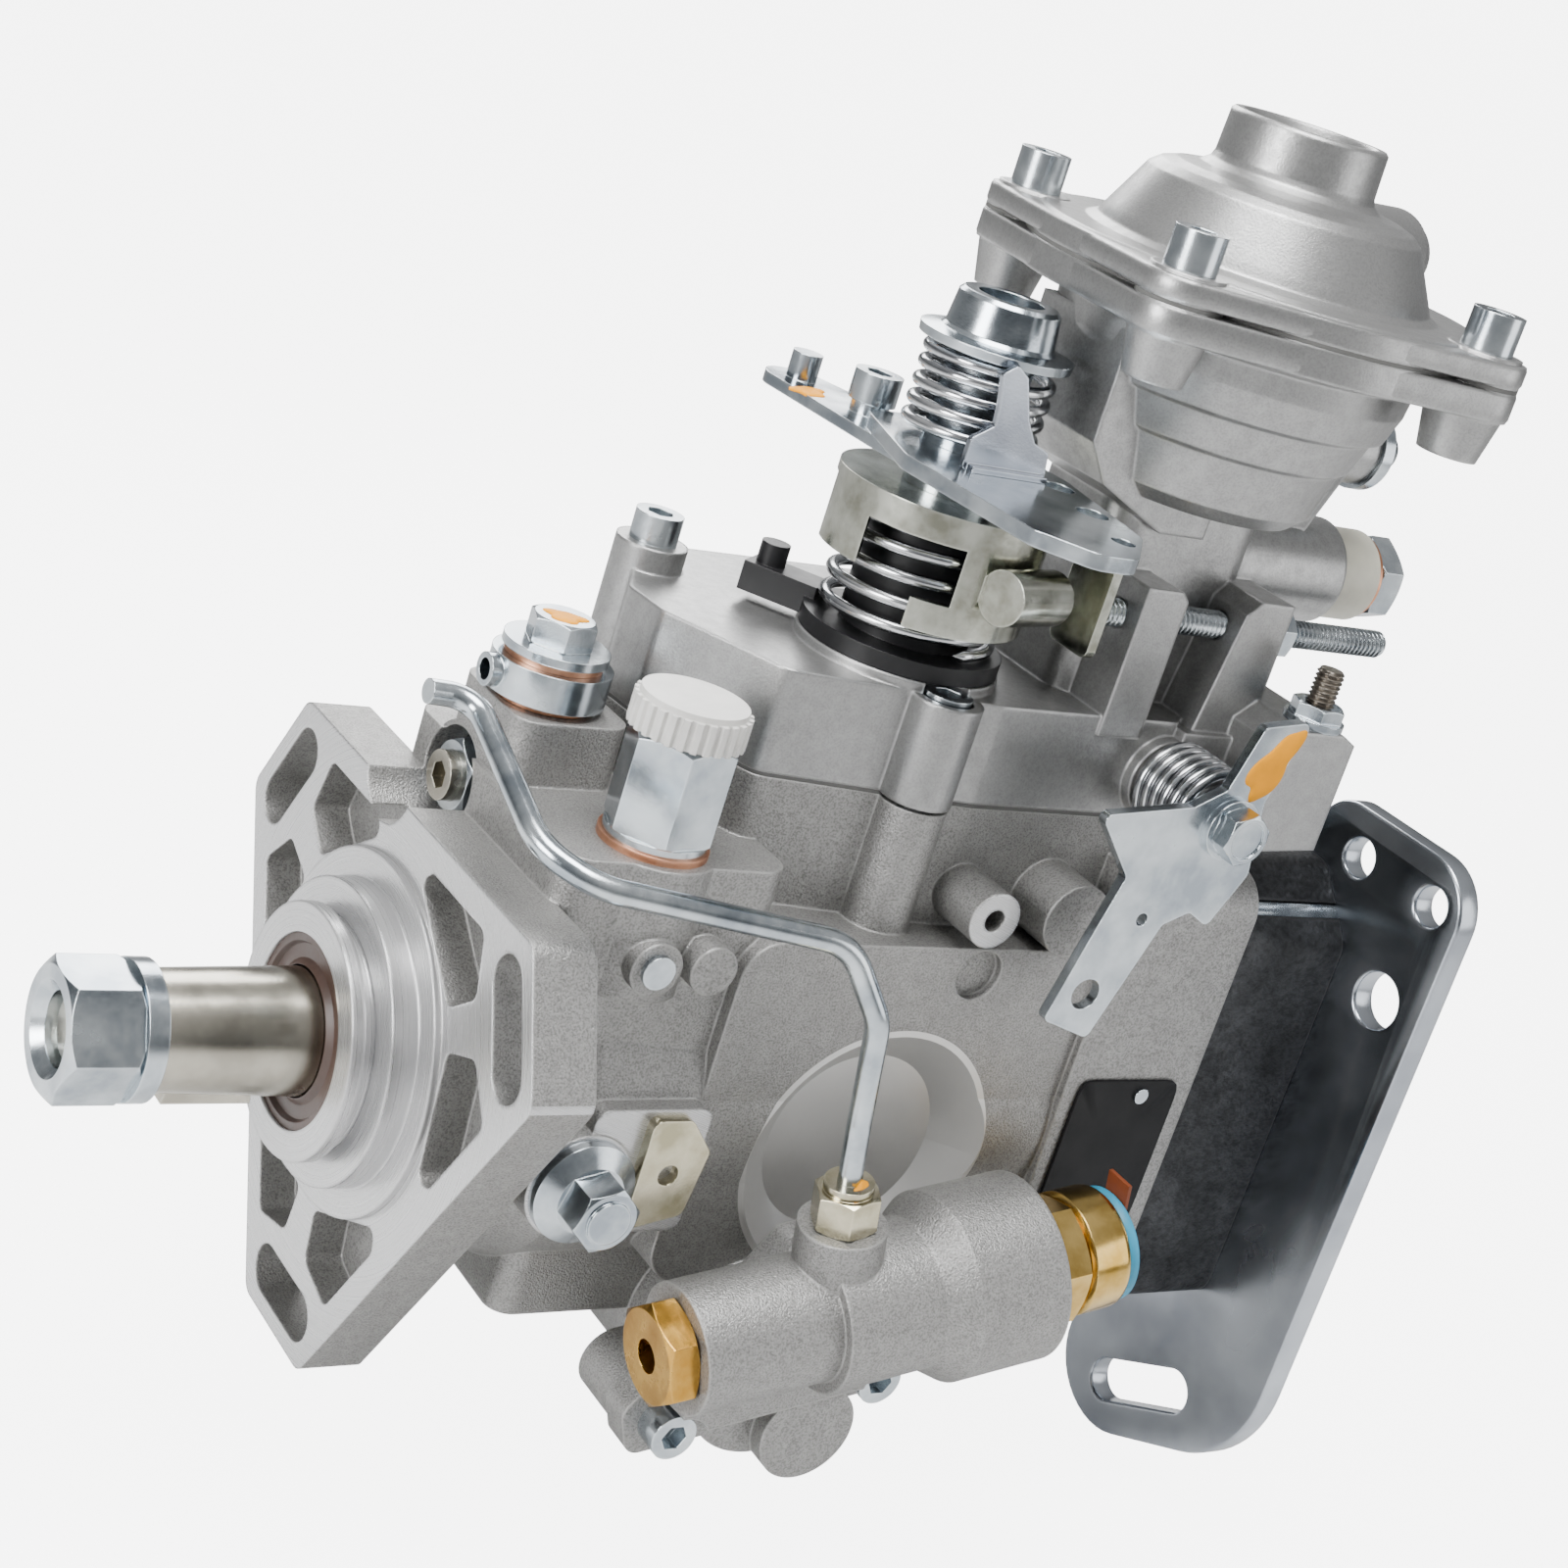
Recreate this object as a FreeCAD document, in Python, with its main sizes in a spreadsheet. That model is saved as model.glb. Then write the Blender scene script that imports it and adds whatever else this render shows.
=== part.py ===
import FreeCAD, Part
import math
import os
import Sketcher
from FreeCAD import Placement, Rotation, Vector

# Rotary distributor injection pump for a diesel engine, in millimetres.
# The drive shaft lies along X, with its nut towards -X and the delivery ports towards +X.
# Z is up. The origin is on the shaft's axis, in the plane of the mounting flange's face.

doc = FreeCAD.newDocument("InjectionPump")
sheet = doc.addObject("Spreadsheet::Sheet", "Sizes")
sheet_row = 0


class Size(float):
    """A length that carries the sheet formula it was worked out from."""

    def __new__(cls, number, formula):
        made = float.__new__(cls, number)
        made.formula = formula
        return made

    def __add__(self, other):
        return joined(float(self) + float(other), self, "+", other)

    def __radd__(self, other):
        return joined(float(other) + float(self), other, "+", self)

    def __sub__(self, other):
        return joined(float(self) - float(other), self, "-", other)

    def __rsub__(self, other):
        return joined(float(other) - float(self), other, "-", self)

    def __mul__(self, other):
        return joined(float(self) * float(other), self, "*", other)

    def __rmul__(self, other):
        return joined(float(other) * float(self), other, "*", self)

    def __truediv__(self, other):
        return joined(float(self) / float(other), self, "/", other)

    def __neg__(self):
        return joined(-float(self), 0, "-", self)


def formula_of(amount):
    if isinstance(amount, Size):
        return amount.formula
    return f"({float(amount):.6f})"


def joined(number, left, sign, right):
    return Size(number, f"({formula_of(left)} {sign} {formula_of(right)})")


def size(name, number, meaning):
    """Write one driving dimension into the sheet and hand it back as a Size."""
    global sheet_row
    sheet_row += 1
    sheet.set(f"A{sheet_row}", meaning)
    sheet.set(f"B{sheet_row}", str(number))
    sheet.setAlias(f"B{sheet_row}", name)
    return Size(number, f"Sizes.{name}")


def bind(thing, path, amount):
    """Set a property, and tie it to the sheet where the amount comes from there."""
    if "." not in path:
        setattr(thing, path, float(amount))
    if isinstance(amount, Size):
        thing.setExpression(path, amount.formula)


# Where pieces point: each frame is the turn that takes a piece's own axes into the pump's.
X, Y, Z = Vector(1, 0, 0), Vector(0, 1, 0), Vector(0, 0, 1)
FACING = {
    "x": Rotation(Y, Z, X, "ZXY"),
    "-y": Rotation(X, Z, -Y, "ZXY"),
    "z": Rotation(),
}
WAY = {"x": X, "-x": -X, "y": Y, "-y": -Y, "z": Z, "-z": -Z}
tool_count = 0


def next_name(kind):
    global tool_count
    tool_count += 1
    return f"{kind}_{tool_count}"


def put(thing, at, turn):
    """Place a piece by its own origin, with each coordinate tied to the sheet."""
    thing.Placement = Placement(Vector(*[float(c) for c in at]), turn)
    for letter, amount in zip("xyz", at):
        bind(thing, f"Placement.Base.{letter}", amount)
    return thing


def direction(along):
    return WAY[along] if isinstance(along, str) else along


def rod(at, along, radius, length):
    made = doc.addObject("Part::Cylinder", next_name("rod"))
    bind(made, "Radius", radius)
    bind(made, "Height", length)
    return put(made, at, Rotation(Z, direction(along)))


def taper(at, along, radius, end_radius, length):
    made = doc.addObject("Part::Cone", next_name("taper"))
    bind(made, "Radius1", radius)
    bind(made, "Radius2", end_radius)
    bind(made, "Height", length)
    return put(made, at, Rotation(Z, direction(along)))


def block(low, high, at=(0, 0, 0), turn=None):
    """A box from its low corner to its high corner, or one turned about a given point."""
    made = doc.addObject("Part::Box", next_name("block"))
    for side, a, b in zip(("Length", "Width", "Height"), low, high):
        bind(made, side, b - a)
    if turn is None:
        return put(made, low, Rotation())
    shift = turn.multVec(Vector(*[float(c) for c in low]))
    return put(made, [a + s for a, s in zip(at, shift)], turn)


def hexagon(at, along, across_flats, length, spin=0):
    made = doc.addObject("Part::Prism", next_name("hexagon"))
    made.Polygon = 6
    bind(made, "Circumradius", across_flats / math.sqrt(3))
    bind(made, "Height", length)
    return put(made, at, Rotation(Z, direction(along)) * Rotation(Z, spin))


def hex_head(at, along, across_flats, length, spin=0):
    """A hexagon whose corners are turned off at both ends, as on a bolt head."""
    corner = across_flats / math.sqrt(3) + 0.05
    flat = across_flats * 0.49
    slope = (corner - flat) * 0.55
    blank = turned(at, along, [
        (0, 0), (0, flat), (slope, corner), (length - slope, corner), (length, flat),
        (length, 0)])
    return shared(hexagon(at, along, across_flats, length, spin), blank)


def fused(*pieces):
    made = doc.addObject("Part::MultiFuse", next_name("fused"))
    made.Shapes = list(pieces)
    made.Refine = True
    return made


def carved(base, *tools):
    made = doc.addObject("Part::Cut", next_name("carved"))
    made.Base = base
    made.Tool = tools[0] if len(tools) == 1 else grouped(*tools)
    made.Refine = True
    return made


def shared(base, tool):
    made = doc.addObject("Part::Common", next_name("shared"))
    made.Base = base
    made.Tool = tool
    return made


def grouped(*pieces):
    made = doc.addObject("Part::Compound", next_name("group"))
    made.Links = list(pieces)
    return made


def pipe_ring(at, along, outer, inner, length):
    """A plain ring: a washer, a bush or a spacer."""
    return carved(rod(at, along, outer, length), rod(at, along, inner, length))


def origin_plane(body, role):
    return [part for part in body.Origin.OriginFeatures if part.Role == role][0]


def add_loop(sketch, corners):
    """Draw a closed outline of straight sides and tie each corner to the sheet."""
    first = sketch.GeometryCount
    count = len(corners)
    for number, corner in enumerate(corners):
        after = corners[(number + 1) % count]
        start = Vector(float(corner[0]), float(corner[1]), 0)
        end = Vector(float(after[0]), float(after[1]), 0)
        sketch.addGeometry(Part.LineSegment(start, end), False)
    for number in range(count):
        here, there = first + number, first + (number + 1) % count
        sketch.addConstraint(Sketcher.Constraint("Coincident", here, 2, there, 1))
    for number, corner in enumerate(corners):
        for kind, amount in zip(("DistanceX", "DistanceY"), corner):
            rule = Sketcher.Constraint(kind, -1, 1, first + number, 1, float(amount))
            index = sketch.addConstraint(rule)
            if isinstance(amount, Size):
                sketch.setExpression(f"Constraints[{index}]", amount.formula)


def add_circle(sketch, centre, radius):
    """Draw a circle and tie its centre and radius to the sheet."""
    middle = Vector(float(centre[0]), float(centre[1]), 0)
    geometry = sketch.addGeometry(Part.Circle(middle, Z, float(radius)), False)
    rules = [("DistanceX", centre[0]), ("DistanceY", centre[1])]
    for kind, amount in rules:
        index = sketch.addConstraint(Sketcher.Constraint(kind, -1, 1, geometry, 3, float(amount)))
        if isinstance(amount, Size):
            sketch.setExpression(f"Constraints[{index}]", amount.formula)
    index = sketch.addConstraint(Sketcher.Constraint("Radius", geometry, float(radius)))
    if isinstance(radius, Size):
        sketch.setExpression(f"Constraints[{index}]", radius.formula)


def new_sketch(body, role="XY_Plane"):
    sketch = body.newObject("Sketcher::SketchObject", next_name("outline"))
    sketch.AttachmentSupport = [(origin_plane(body, role), "")]
    sketch.MapMode = "FlatFace"
    return sketch


def turned(at, along, corners):
    """A lathe-turned piece: corners are (station along the axis, radius)."""
    body = doc.addObject("PartDesign::Body", next_name("turned"))
    sketch = new_sketch(body)
    add_loop(sketch, corners)
    spun = body.newObject("PartDesign::Revolution", next_name("spun"))
    spun.Profile = sketch
    spun.ReferenceAxis = (sketch, ["H_Axis"])
    spun.Angle = 360
    return put(body, at, Rotation(X, direction(along)))


def plate(at, facing, corners, thickness, holes=(), rounding=None):
    """A flat piece: an outline with holes (centre u, centre v, radius), padded to a thickness."""
    body = doc.addObject("PartDesign::Body", next_name("plate"))
    sketch = new_sketch(body)
    add_loop(sketch, corners)
    for u, v, radius in holes:
        add_circle(sketch, (u, v), radius)
    pad = body.newObject("PartDesign::Pad", next_name("pad"))
    pad.Profile = sketch
    bind(pad, "Length", thickness)
    turn = FACING[facing] if isinstance(facing, str) else facing
    put(body, at, turn)
    if rounding is not None:
        doc.recompute([body, sketch, pad])
        round_uprights(body, pad, rounding, corners)
    return body


def round_uprights(body, pad, rounding, corners):
    """Round the edges of a pad that stand on the corners of its outer outline."""
    chosen = []
    for number, edge in enumerate(pad.Shape.Edges, start=1):
        ends = [vertex.Point for vertex in edge.Vertexes]
        upright = len(ends) == 2 and abs(ends[0].z - ends[1].z) > 0.9 * float(pad.Length)
        on_corner = any(math.hypot(ends[0].x - float(u), ends[0].y - float(v)) < 0.001
                        for u, v in corners)
        if upright and on_corner:
            chosen.append(f"Edge{number}")
    fillet = body.newObject("PartDesign::Fillet", next_name("rounding"))
    fillet.Base = (pad, chosen)
    bind(fillet, "Radius", rounding)


def spring(at, along, coil_radius, wire_radius, turns, length):
    """A coil spring: its wire's centre line runs over the given length."""
    line = doc.addObject("Part::Helix", next_name("helix"))
    bind(line, "Radius", coil_radius)
    bind(line, "Pitch", length / turns)
    bind(line, "Height", length)
    section = doc.addObject("Part::Circle", next_name("wire"))
    bind(section, "Radius", wire_radius)
    section.Placement = Placement(Vector(float(coil_radius), 0, 0), Rotation(X, 90))
    bind(section, "Placement.Base.x", coil_radius)
    swept = doc.addObject("Part::Sweep", next_name("spring"))
    swept.Sections = [section]
    swept.Spine = (line, ["Edge1"])
    swept.Solid = True
    swept.Frenet = True
    return put(swept, at, Rotation(Z, direction(along)))


def turn_round(number, count, radius, start=0.0):
    """The y and z of one place out of a ring of equal places round the shaft's axis."""
    angle = math.radians(start + 360.0 * number / count)
    return radius * math.cos(angle), radius * math.sin(angle)


NODES = []


def keep(node, piece):
    """Name a finished piece: its label is the name of its file."""
    piece.Label = node
    NODES.append(piece)
    return piece


# Driving sizes. Fits and clearances come first, because every mating pair uses them.
seat_gap = size("seat_gap", 0.02, "radial clearance of a piece seated in a bore")
run_gap = size("run_gap", 0.03, "radial clearance of a running fit")
free_gap = size("free_gap", 0.3, "clearance between pieces that pass each other")
wall = size("casting_wall", 5, "wall of the castings")

shaft_radius = size("shaft_radius", 12.5, "drive shaft at its seal and bush")
taper_radius = size("taper_radius", 11.6, "drive shaft at the small end of its taper")
thread_radius = size("thread_radius", 7, "drive shaft's end thread")
seat_radius = size("seat_radius", 11, "drive shaft where the rotor and gear sit")
shaft_reach = size("shaft_reach", 61, "flange face to the front of the shaft's nut")
nut_length = size("nut_length", 14, "shaft nut")
nut_flats = size("nut_flats", 24, "shaft nut across flats")
washer_thick = size("washer_thick", 4, "washer under the shaft nut")
key_width = size("key_width", 5, "half-round key in the taper")
key_radius = size("key_radius", 9, "half-round key in the taper")
key_station = size("key_station", 28, "flange face to the middle of the key")

nose_length = size("nose_length", 12.5, "flange face to the front of the pilot")
pilot_radius = size("pilot_radius", 25, "front ring of the pilot")
collar_radius = size("collar_radius", 30, "rear ring of the pilot")
hub_radius = size("hub_radius", 36, "machined hub in the flange face")
seal_radius = size("seal_radius", 19, "shaft seal outside")
seal_depth = size("seal_depth", 9, "shaft seal")
bush_radius = size("bush_radius", 16, "shaft bush outside")
bush_length = size("bush_length", 28, "shaft bush")

flange_thick = size("flange_thick", 13, "mounting flange")
flange_flat = size("flange_flat", 47, "shaft axis to each long side of the flange")
flange_corner = size("flange_corner", 69, "shaft axis to each cut corner of the flange")
slot_circle = size("slot_circle", 60, "shaft axis to the flange's slots")
slot_radius = size("slot_radius", 5.2, "half the width of a flange slot")
slot_spread = size("slot_spread", 8.2, "slot middle to each end's centre")
pocket_depth = size("pocket_depth", 8, "pockets between the flange's ribs")
flange_rim = size("flange_rim", 6, "rim round the flange's pockets")

barrel_radius = size("barrel_radius", 44, "housing round the shaft")
bore_radius = size("bore_radius", 33.2, "inside of the housing")
front_wall = size("front_wall", 30, "flange face to the back of the housing's front wall")
rear_face = size("rear_face", 178, "flange face to the housing's rear face")
rear_block = size("rear_block", 36, "length of the housing's square rear end")
rear_half = size("rear_half", 45, "half the width of the square rear end")
rear_top = size("rear_top", 62, "shaft axis to the top of the rear end")
rear_low = size("rear_low", 44, "shaft axis to the bottom of the rear end")
joint_level = size("joint_level", 70, "shaft axis to the governor cover's joint")
timer_station = size("timer_station", 82, "flange face to the timer's axis")
timer_drop = size("timer_drop", 47, "shaft axis down to the timer's axis")
timer_radius = size("timer_radius", 14, "timer piston")
timer_shell = size("timer_shell", 20.5, "outside of the timer's barrel")
timer_half = size("timer_half", 48, "half the length of the timer's barrel")

governor_y = size("governor_y", 12, "shaft axis to the governor's axis, sideways")
governor_z = size("governor_z", 50, "shaft axis to the governor's axis, upwards")
governor_radius = size("governor_radius", 5, "governor shaft")
module = 2 * 51.42 / 60
drive_teeth = 36
governor_teeth = 24

head_length = size("head_length", 30, "cast distributor head behind the housing")
plunger_radius = size("plunger_radius", 5.5, "distributor plunger")
barrel_sleeve = size("barrel_sleeve", 13, "distributor barrel outside")
port_circle = size("port_circle", 26, "shaft axis to the delivery ports")
port_thread = size("port_thread", 6, "delivery valve holder's thread")

lever_x = size("lever_x", 90, "flange face to the throttle shaft's axis")
lever_y = size("lever_y", -10, "shaft axis to the throttle shaft's axis, sideways")
throttle_radius = size("throttle_radius", 6, "throttle shaft")
boost_x = size("boost_x", 143.5, "flange face to the boost unit's axis")
boost_y = size("boost_y", -15, "shaft axis to the boost unit's axis, sideways")
boost_level = size("boost_level", 177, "shaft axis to the boost unit's joint")
stop_x = size("stop_x", 147, "flange face to the stop lever's axis")
stop_z = size("stop_z", 80, "shaft axis to the stop lever's axis, upwards")


# Pump housing: the casting with the mounting flange, the front bearing and the side bosses.
def flange_plate():
    """The flange is an equilateral triangle with its three corners cut off and three slots."""
    half = (2 * flange_flat - flange_corner) * math.tan(math.radians(30))
    corners = []
    for lobe in (270, 30, 150):
        angle = math.radians(lobe)
        for side in (-1, 1):
            u = flange_corner * math.cos(angle) - side * half * math.sin(angle)
            v = flange_corner * math.sin(angle) + side * half * math.cos(angle)
            corners.append((u, v))
    outline = plate((0, 0, 0), "x", corners, flange_thick, rounding=flange_rim - 2)
    slots = []
    for lobe in (270, 30, 150):
        angle = math.radians(lobe)
        ends = []
        for side in (-1, 1):
            y = slot_circle * math.cos(angle) - side * slot_spread * math.sin(angle)
            z = slot_circle * math.sin(angle) + side * slot_spread * math.cos(angle)
            ends.append((y, z))
            slots.append(rod((-1, y, z), "x", slot_radius, flange_thick + 2))
        turn = Rotation(X, lobe)
        slots.append(block((-1, slot_circle - slot_radius, -slot_spread),
                           (flange_thick + 1, slot_circle + slot_radius, slot_spread),
                           (0, 0, 0), turn))
    pockets = []
    for side in (90, 210, 330):
        for hand in (-1, 1):
            pockets.append(flange_pocket(side, hand))
    return carved(outline, *slots, *pockets)


def flange_pocket(side, hand):
    """One pocket beside the middle of a flange side: between the hub, the rim and a slot."""
    angle = math.radians(side)
    rim = flange_flat - flange_rim
    shape = [(37.5, 9.5), (rim, 13), (rim, 36), (29, 39.5), (22.5, 31)]
    corners = []
    for outward, across in shape:
        u = outward * math.cos(angle) - hand * across * math.sin(angle)
        v = outward * math.sin(angle) + hand * across * math.cos(angle)
        corners.append((u, v))
    return plate((-1, 0, 0), "x", corners, pocket_depth + 1, rounding=2.5)


# The housing's own stations, worked out from the driving sizes.
box_front = size("box_front", 44, "flange face to the front of the governor chamber")
box_rear = rear_face - rear_block + 12
inlet_x = size("inlet_x", 34, "flange face to the fuel inlet")
inlet_y = size("inlet_y", -29, "shaft axis to the fuel inlet, sideways")
inlet_level = size("inlet_level", 57, "shaft axis to the inlet's seat")
supply_x = size("supply_x", 24, "flange face to the banjo's bolt")
supply_y = size("supply_y", 6, "shaft axis to the banjo's bolt, sideways")
side_face = size("side_face", 43, "shaft axis to the housing's machined side")
lock_x = size("lock_x", 28, "flange face to the shaft lock screw")
lock_z = size("lock_z", -6, "shaft axis to the shaft lock screw, upwards")
window_x = size("window_x", 97, "flange face to the round recess in the side")
window_radius = size("window_radius", 28, "round recess in the side")

# The cold-start unit leans upwards towards the rear, and the timer's lugs lean with it.
unit_lean = -11
unit_turn = Rotation(Y, unit_lean)
unit_drop = size("unit_drop", 4.5, "timer's axis down to the cold-start unit's screws")
unit_seat = timer_half
unit_screw_reach = size("unit_screw_reach", 24, "timer's axis to the unit's screws")
unit_along = unit_turn.multVec(X)
unit_up = unit_turn.multVec(Z)


def in_unit(forward, outward, up):
    """A place in the leaning unit: along its cylinder, out from the joint, and up."""
    shift = unit_along * float(forward) + unit_up * float(up)
    return (timer_station + shift.x, -unit_seat - outward, -timer_drop - unit_drop + shift.z)


# The plan of the governor chamber and of its cover's joint, seen from above.
chamber_plan = [(box_front + 14, 42), (box_front - 3, 14), (box_front - 2, 2),
                (box_front + 12, -24), (box_front + 58, -33), (box_rear - 6, -33),
                (box_rear, -27), (box_rear, 42)]


def inset(corners, amount):
    """Move each corner of an outline inwards, along both of its sides by the same amount."""
    count = len(corners)
    moved = []
    for number in range(count):
        before = Vector(*[float(c) for c in corners[number - 1]], 0)
        here = Vector(*[float(c) for c in corners[number]], 0)
        after = Vector(*[float(c) for c in corners[(number + 1) % count]], 0)
        arrive = (here - before).normalize()
        leave = (after - here).normalize()
        inward = (Vector(-arrive.y, arrive.x, 0) + Vector(-leave.y, leave.x, 0)).normalize()
        half = math.sqrt((1 + arrive.dot(leave)) / 2)
        u, v = corners[number]
        moved.append((u + inward.x * amount / half, v + inward.y * amount / half))
    return moved


chamber_hole = inset(chamber_plan, wall + 1)

nose = turned((0, 0, 0), "x", [
    (-nose_length, 0), (-nose_length, pilot_radius), (-nose_length + 2.8, pilot_radius),
    (-nose_length + 2.8, pilot_radius - 2.4), (-nose_length + 5.6, pilot_radius - 2.4),
    (-nose_length + 5.6, collar_radius), (-1.5, collar_radius), (-1.5, hub_radius),
    (flange_thick, hub_radius), (flange_thick, hub_radius + 2), (front_wall, barrel_radius),
    (rear_face - rear_block + 1, barrel_radius), (rear_face - rear_block + 1, 0)])
rear_end = plate((rear_face - rear_block, 0, 0), "x", [
    (-rear_half, -rear_low), (rear_half, -rear_low), (rear_half, rear_top),
    (-rear_half, rear_top)], rear_block, rounding=9)
chamber_wall = plate((0, 0, 0), "z", chamber_plan, joint_level, rounding=4)
front_shoulder = plate((0, 0, 0), "z", [
    (flange_thick - 1, -38), (inlet_x + 26, -40), (inlet_x + 26, 32), (flange_thick - 1, 32)],
    inlet_level, rounding=6)
timer_barrel = rod((timer_station, -timer_half, -timer_drop), "y", timer_shell, 2 * timer_half)
side_block = plate((0, 0, 0), "-y", [
    (window_x - 44, -32), (rear_face - rear_block + 2, -32), (rear_face - rear_block + 2, 44),
    (window_x - 44, 44)], side_face, rounding=8)
lower_web = plate((0, 0, 0), "z", [(front_wall, -30), (box_rear, -30), (box_rear, 30),
                                   (front_wall, 30)], 40, rounding=5)
lower_web = put(lower_web, (0, 0, -timer_drop), Rotation())
inlet_boss = rod((inlet_x, inlet_y, 30), "z", 13, inlet_level - 30)
supply_pad = plate((supply_x, supply_y, inlet_level - 2), "z",
                   [(-11, -13), (14, -13), (14, 14), (-11, 14)],
                   joint_level - inlet_level + 2, rounding=5)
governor_boss = rod((flange_thick, governor_y, governor_z), "x", 11, 12)
side_bosses = [rod((x, -30, z), "-y", radius, side_face - 30 + proud) for x, z, radius, proud in (
    (33, 38, 5.5, 1.0), (45, 38.5, 5, 2.0), (106, 52, 6, 3.5), (128, 52, 8, 2.5))]
lock_boss = rod((lock_x, -30, lock_z), "-y", 11.2, side_face + 5 - 30)
plate_boss = plate((0, -30, 0), "-y", [(lock_x, -17), (lock_x + 26, -17), (lock_x + 26, 10),
                                       (lock_x, 10)], side_face + 4 - 30, rounding=3)

timer_screw_reach = size("timer_screw_reach", 21, "timer's axis to its cover's screws")
timer_lugs = [rod(in_unit(forward, 0, 0), "y", 7.5, 14)
              for forward in (-unit_screw_reach, unit_screw_reach)]
timer_lugs.append(block((-unit_screw_reach, 0, -7.5), (unit_screw_reach, 14, 7.5),
                        in_unit(0, 0, 0), unit_turn))
timer_lugs.append(block((timer_station - timer_screw_reach, timer_half - 14, -timer_drop - 7),
                        (timer_station + timer_screw_reach, timer_half, -timer_drop + 7)))
timer_lugs.extend(rod((timer_station + side * timer_screw_reach, timer_half - 14, -timer_drop),
                      "y", 7, 14) for side in (-1, 1))

housing_solid = fused(flange_plate(), nose, rear_end, chamber_wall, front_shoulder, timer_barrel,
                      side_block, lower_web, inlet_boss, supply_pad, lock_boss, plate_boss,
                      governor_boss, *side_bosses, *timer_lugs)

liner_front = front_wall + 6
liner_length = size("liner_length", 14, "vane pump's cam ring")
cavity_start = liner_front + liner_length + 4
shaft_hole = rod((-nose_length - 1, 0, 0), "x", shaft_radius + 1.5, 60)
seal_hole = rod((-nose_length - 1, 0, 0), "x", seal_radius + seat_gap, seal_depth + 1)
bush_hole = rod((front_wall - bush_length, 0, 0), "x", bush_radius + seat_gap, bush_length + 8)
main_bore = rod((liner_front - 6, 0, 0), "x", bore_radius, rear_face - liner_front + 8)
chamber_space = plate((0, 0, 10), "z", chamber_hole, joint_level)
timer_bore = rod((timer_station, -timer_half - 1, -timer_drop), "y",
                 timer_radius + run_gap, 2 * timer_half + 2)
pin_slot = block((timer_station - 6, -7, -timer_drop), (timer_station + 6, 16, -20))
governor_hole = rod((flange_thick - 6, governor_y, governor_z), "x",
                    governor_radius + seat_gap, 60)
inlet_hole = rod((inlet_x, inlet_y, inlet_level - 12), "z", 7 + seat_gap, 14)
supply_hole = rod((supply_x, supply_y, joint_level - 9.8), "z", 6 + seat_gap, 11)
lock_hole = rod((lock_x, -side_face - 6, lock_z), "y", 4 + seat_gap, 24)
window = taper((window_x, -side_face - 1, -4), "y", window_radius + 1, window_radius - 8, 7.6)
dimples = [rod((x, -side_face - 5, z), "y", radius, deep) for x, z, radius, deep in (
    (110, 38, 5.5, 7), (106, 52, 2.4, 12))]
stud_clearance = rod((-1, governor_y, governor_z), "x", 10, flange_thick + 12.6)

gear_room = rod((cavity_start + 2.7, governor_y, governor_z), "x", 22.6, 12)
lever_pivot_x = size("lever_pivot_x", 108, "flange face to the governor lever's pivot")
lever_pivot_z = size("lever_pivot_z", 29, "shaft axis to the governor lever's pivot")
pivot_radius = size("pivot_radius", 3, "governor lever's pivot")
pivot_near = size("pivot_near", 30, "shaft axis to the pivot's end on the levers' side")
pivot_far = size("pivot_far", 39, "shaft axis to the pivot's far end")
pivot_hole = rod((lever_pivot_x, -pivot_near - free_gap, lever_pivot_z), "y",
                 pivot_radius + run_gap, pivot_near + pivot_far + 2 * free_gap)

# Screw places: the cover's four screws go down into posts that stand in the chamber.
cover_screw_places = [(box_front + 9, 29), (lever_x - 1, -31), (box_rear - 11, 34),
                      (box_rear - 19, -24)]
cover_posts = [rod((x, y, 44), "z", 7.2, joint_level - 44) for x, y in cover_screw_places]
bolt_y = size("bolt_y", 36, "shaft axis to the head screws, sideways")
bolt_high = size("bolt_high", 51, "shaft axis up to the upper head screws")
bolt_low = size("bolt_low", 35, "shaft axis down to the lower head screws")
bolt_places = [(bolt_y, bolt_high), (-bolt_y, bolt_high), (bolt_y, -bolt_low),
               (-bolt_y, -bolt_low)]
screw_bite = size("screw_bite", 14, "head screws' thread in the housing")
tapped_holes = [rod((x, y, 51), "z", 3 + seat_gap, joint_level - 50)
                for x, y in cover_screw_places]
tapped_holes.extend(rod((rear_face - screw_bite - 1, y, z), "x", 4 + seat_gap, screw_bite + 2)
                    for y, z in bolt_places)
tapped_holes.extend(rod(in_unit(forward, 1, 0), "y", 3 + seat_gap, 13)
                    for forward in (-unit_screw_reach, unit_screw_reach))
tapped_holes.extend(rod((timer_station + side * timer_screw_reach, timer_half - 12, -timer_drop),
                        "y", 3 + seat_gap, 13) for side in (-1, 1))

housing_holes = [seal_hole, shaft_hole, bush_hole, timer_bore, pin_slot, governor_hole,
                 inlet_hole, supply_hole, lock_hole, window, stud_clearance, pivot_hole]
pump_housing = keep("pump_housing", carved(
    fused(carved(housing_solid, main_bore, chamber_space), *cover_posts),
    *housing_holes, *dimples, gear_room, *tapped_holes))


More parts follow.
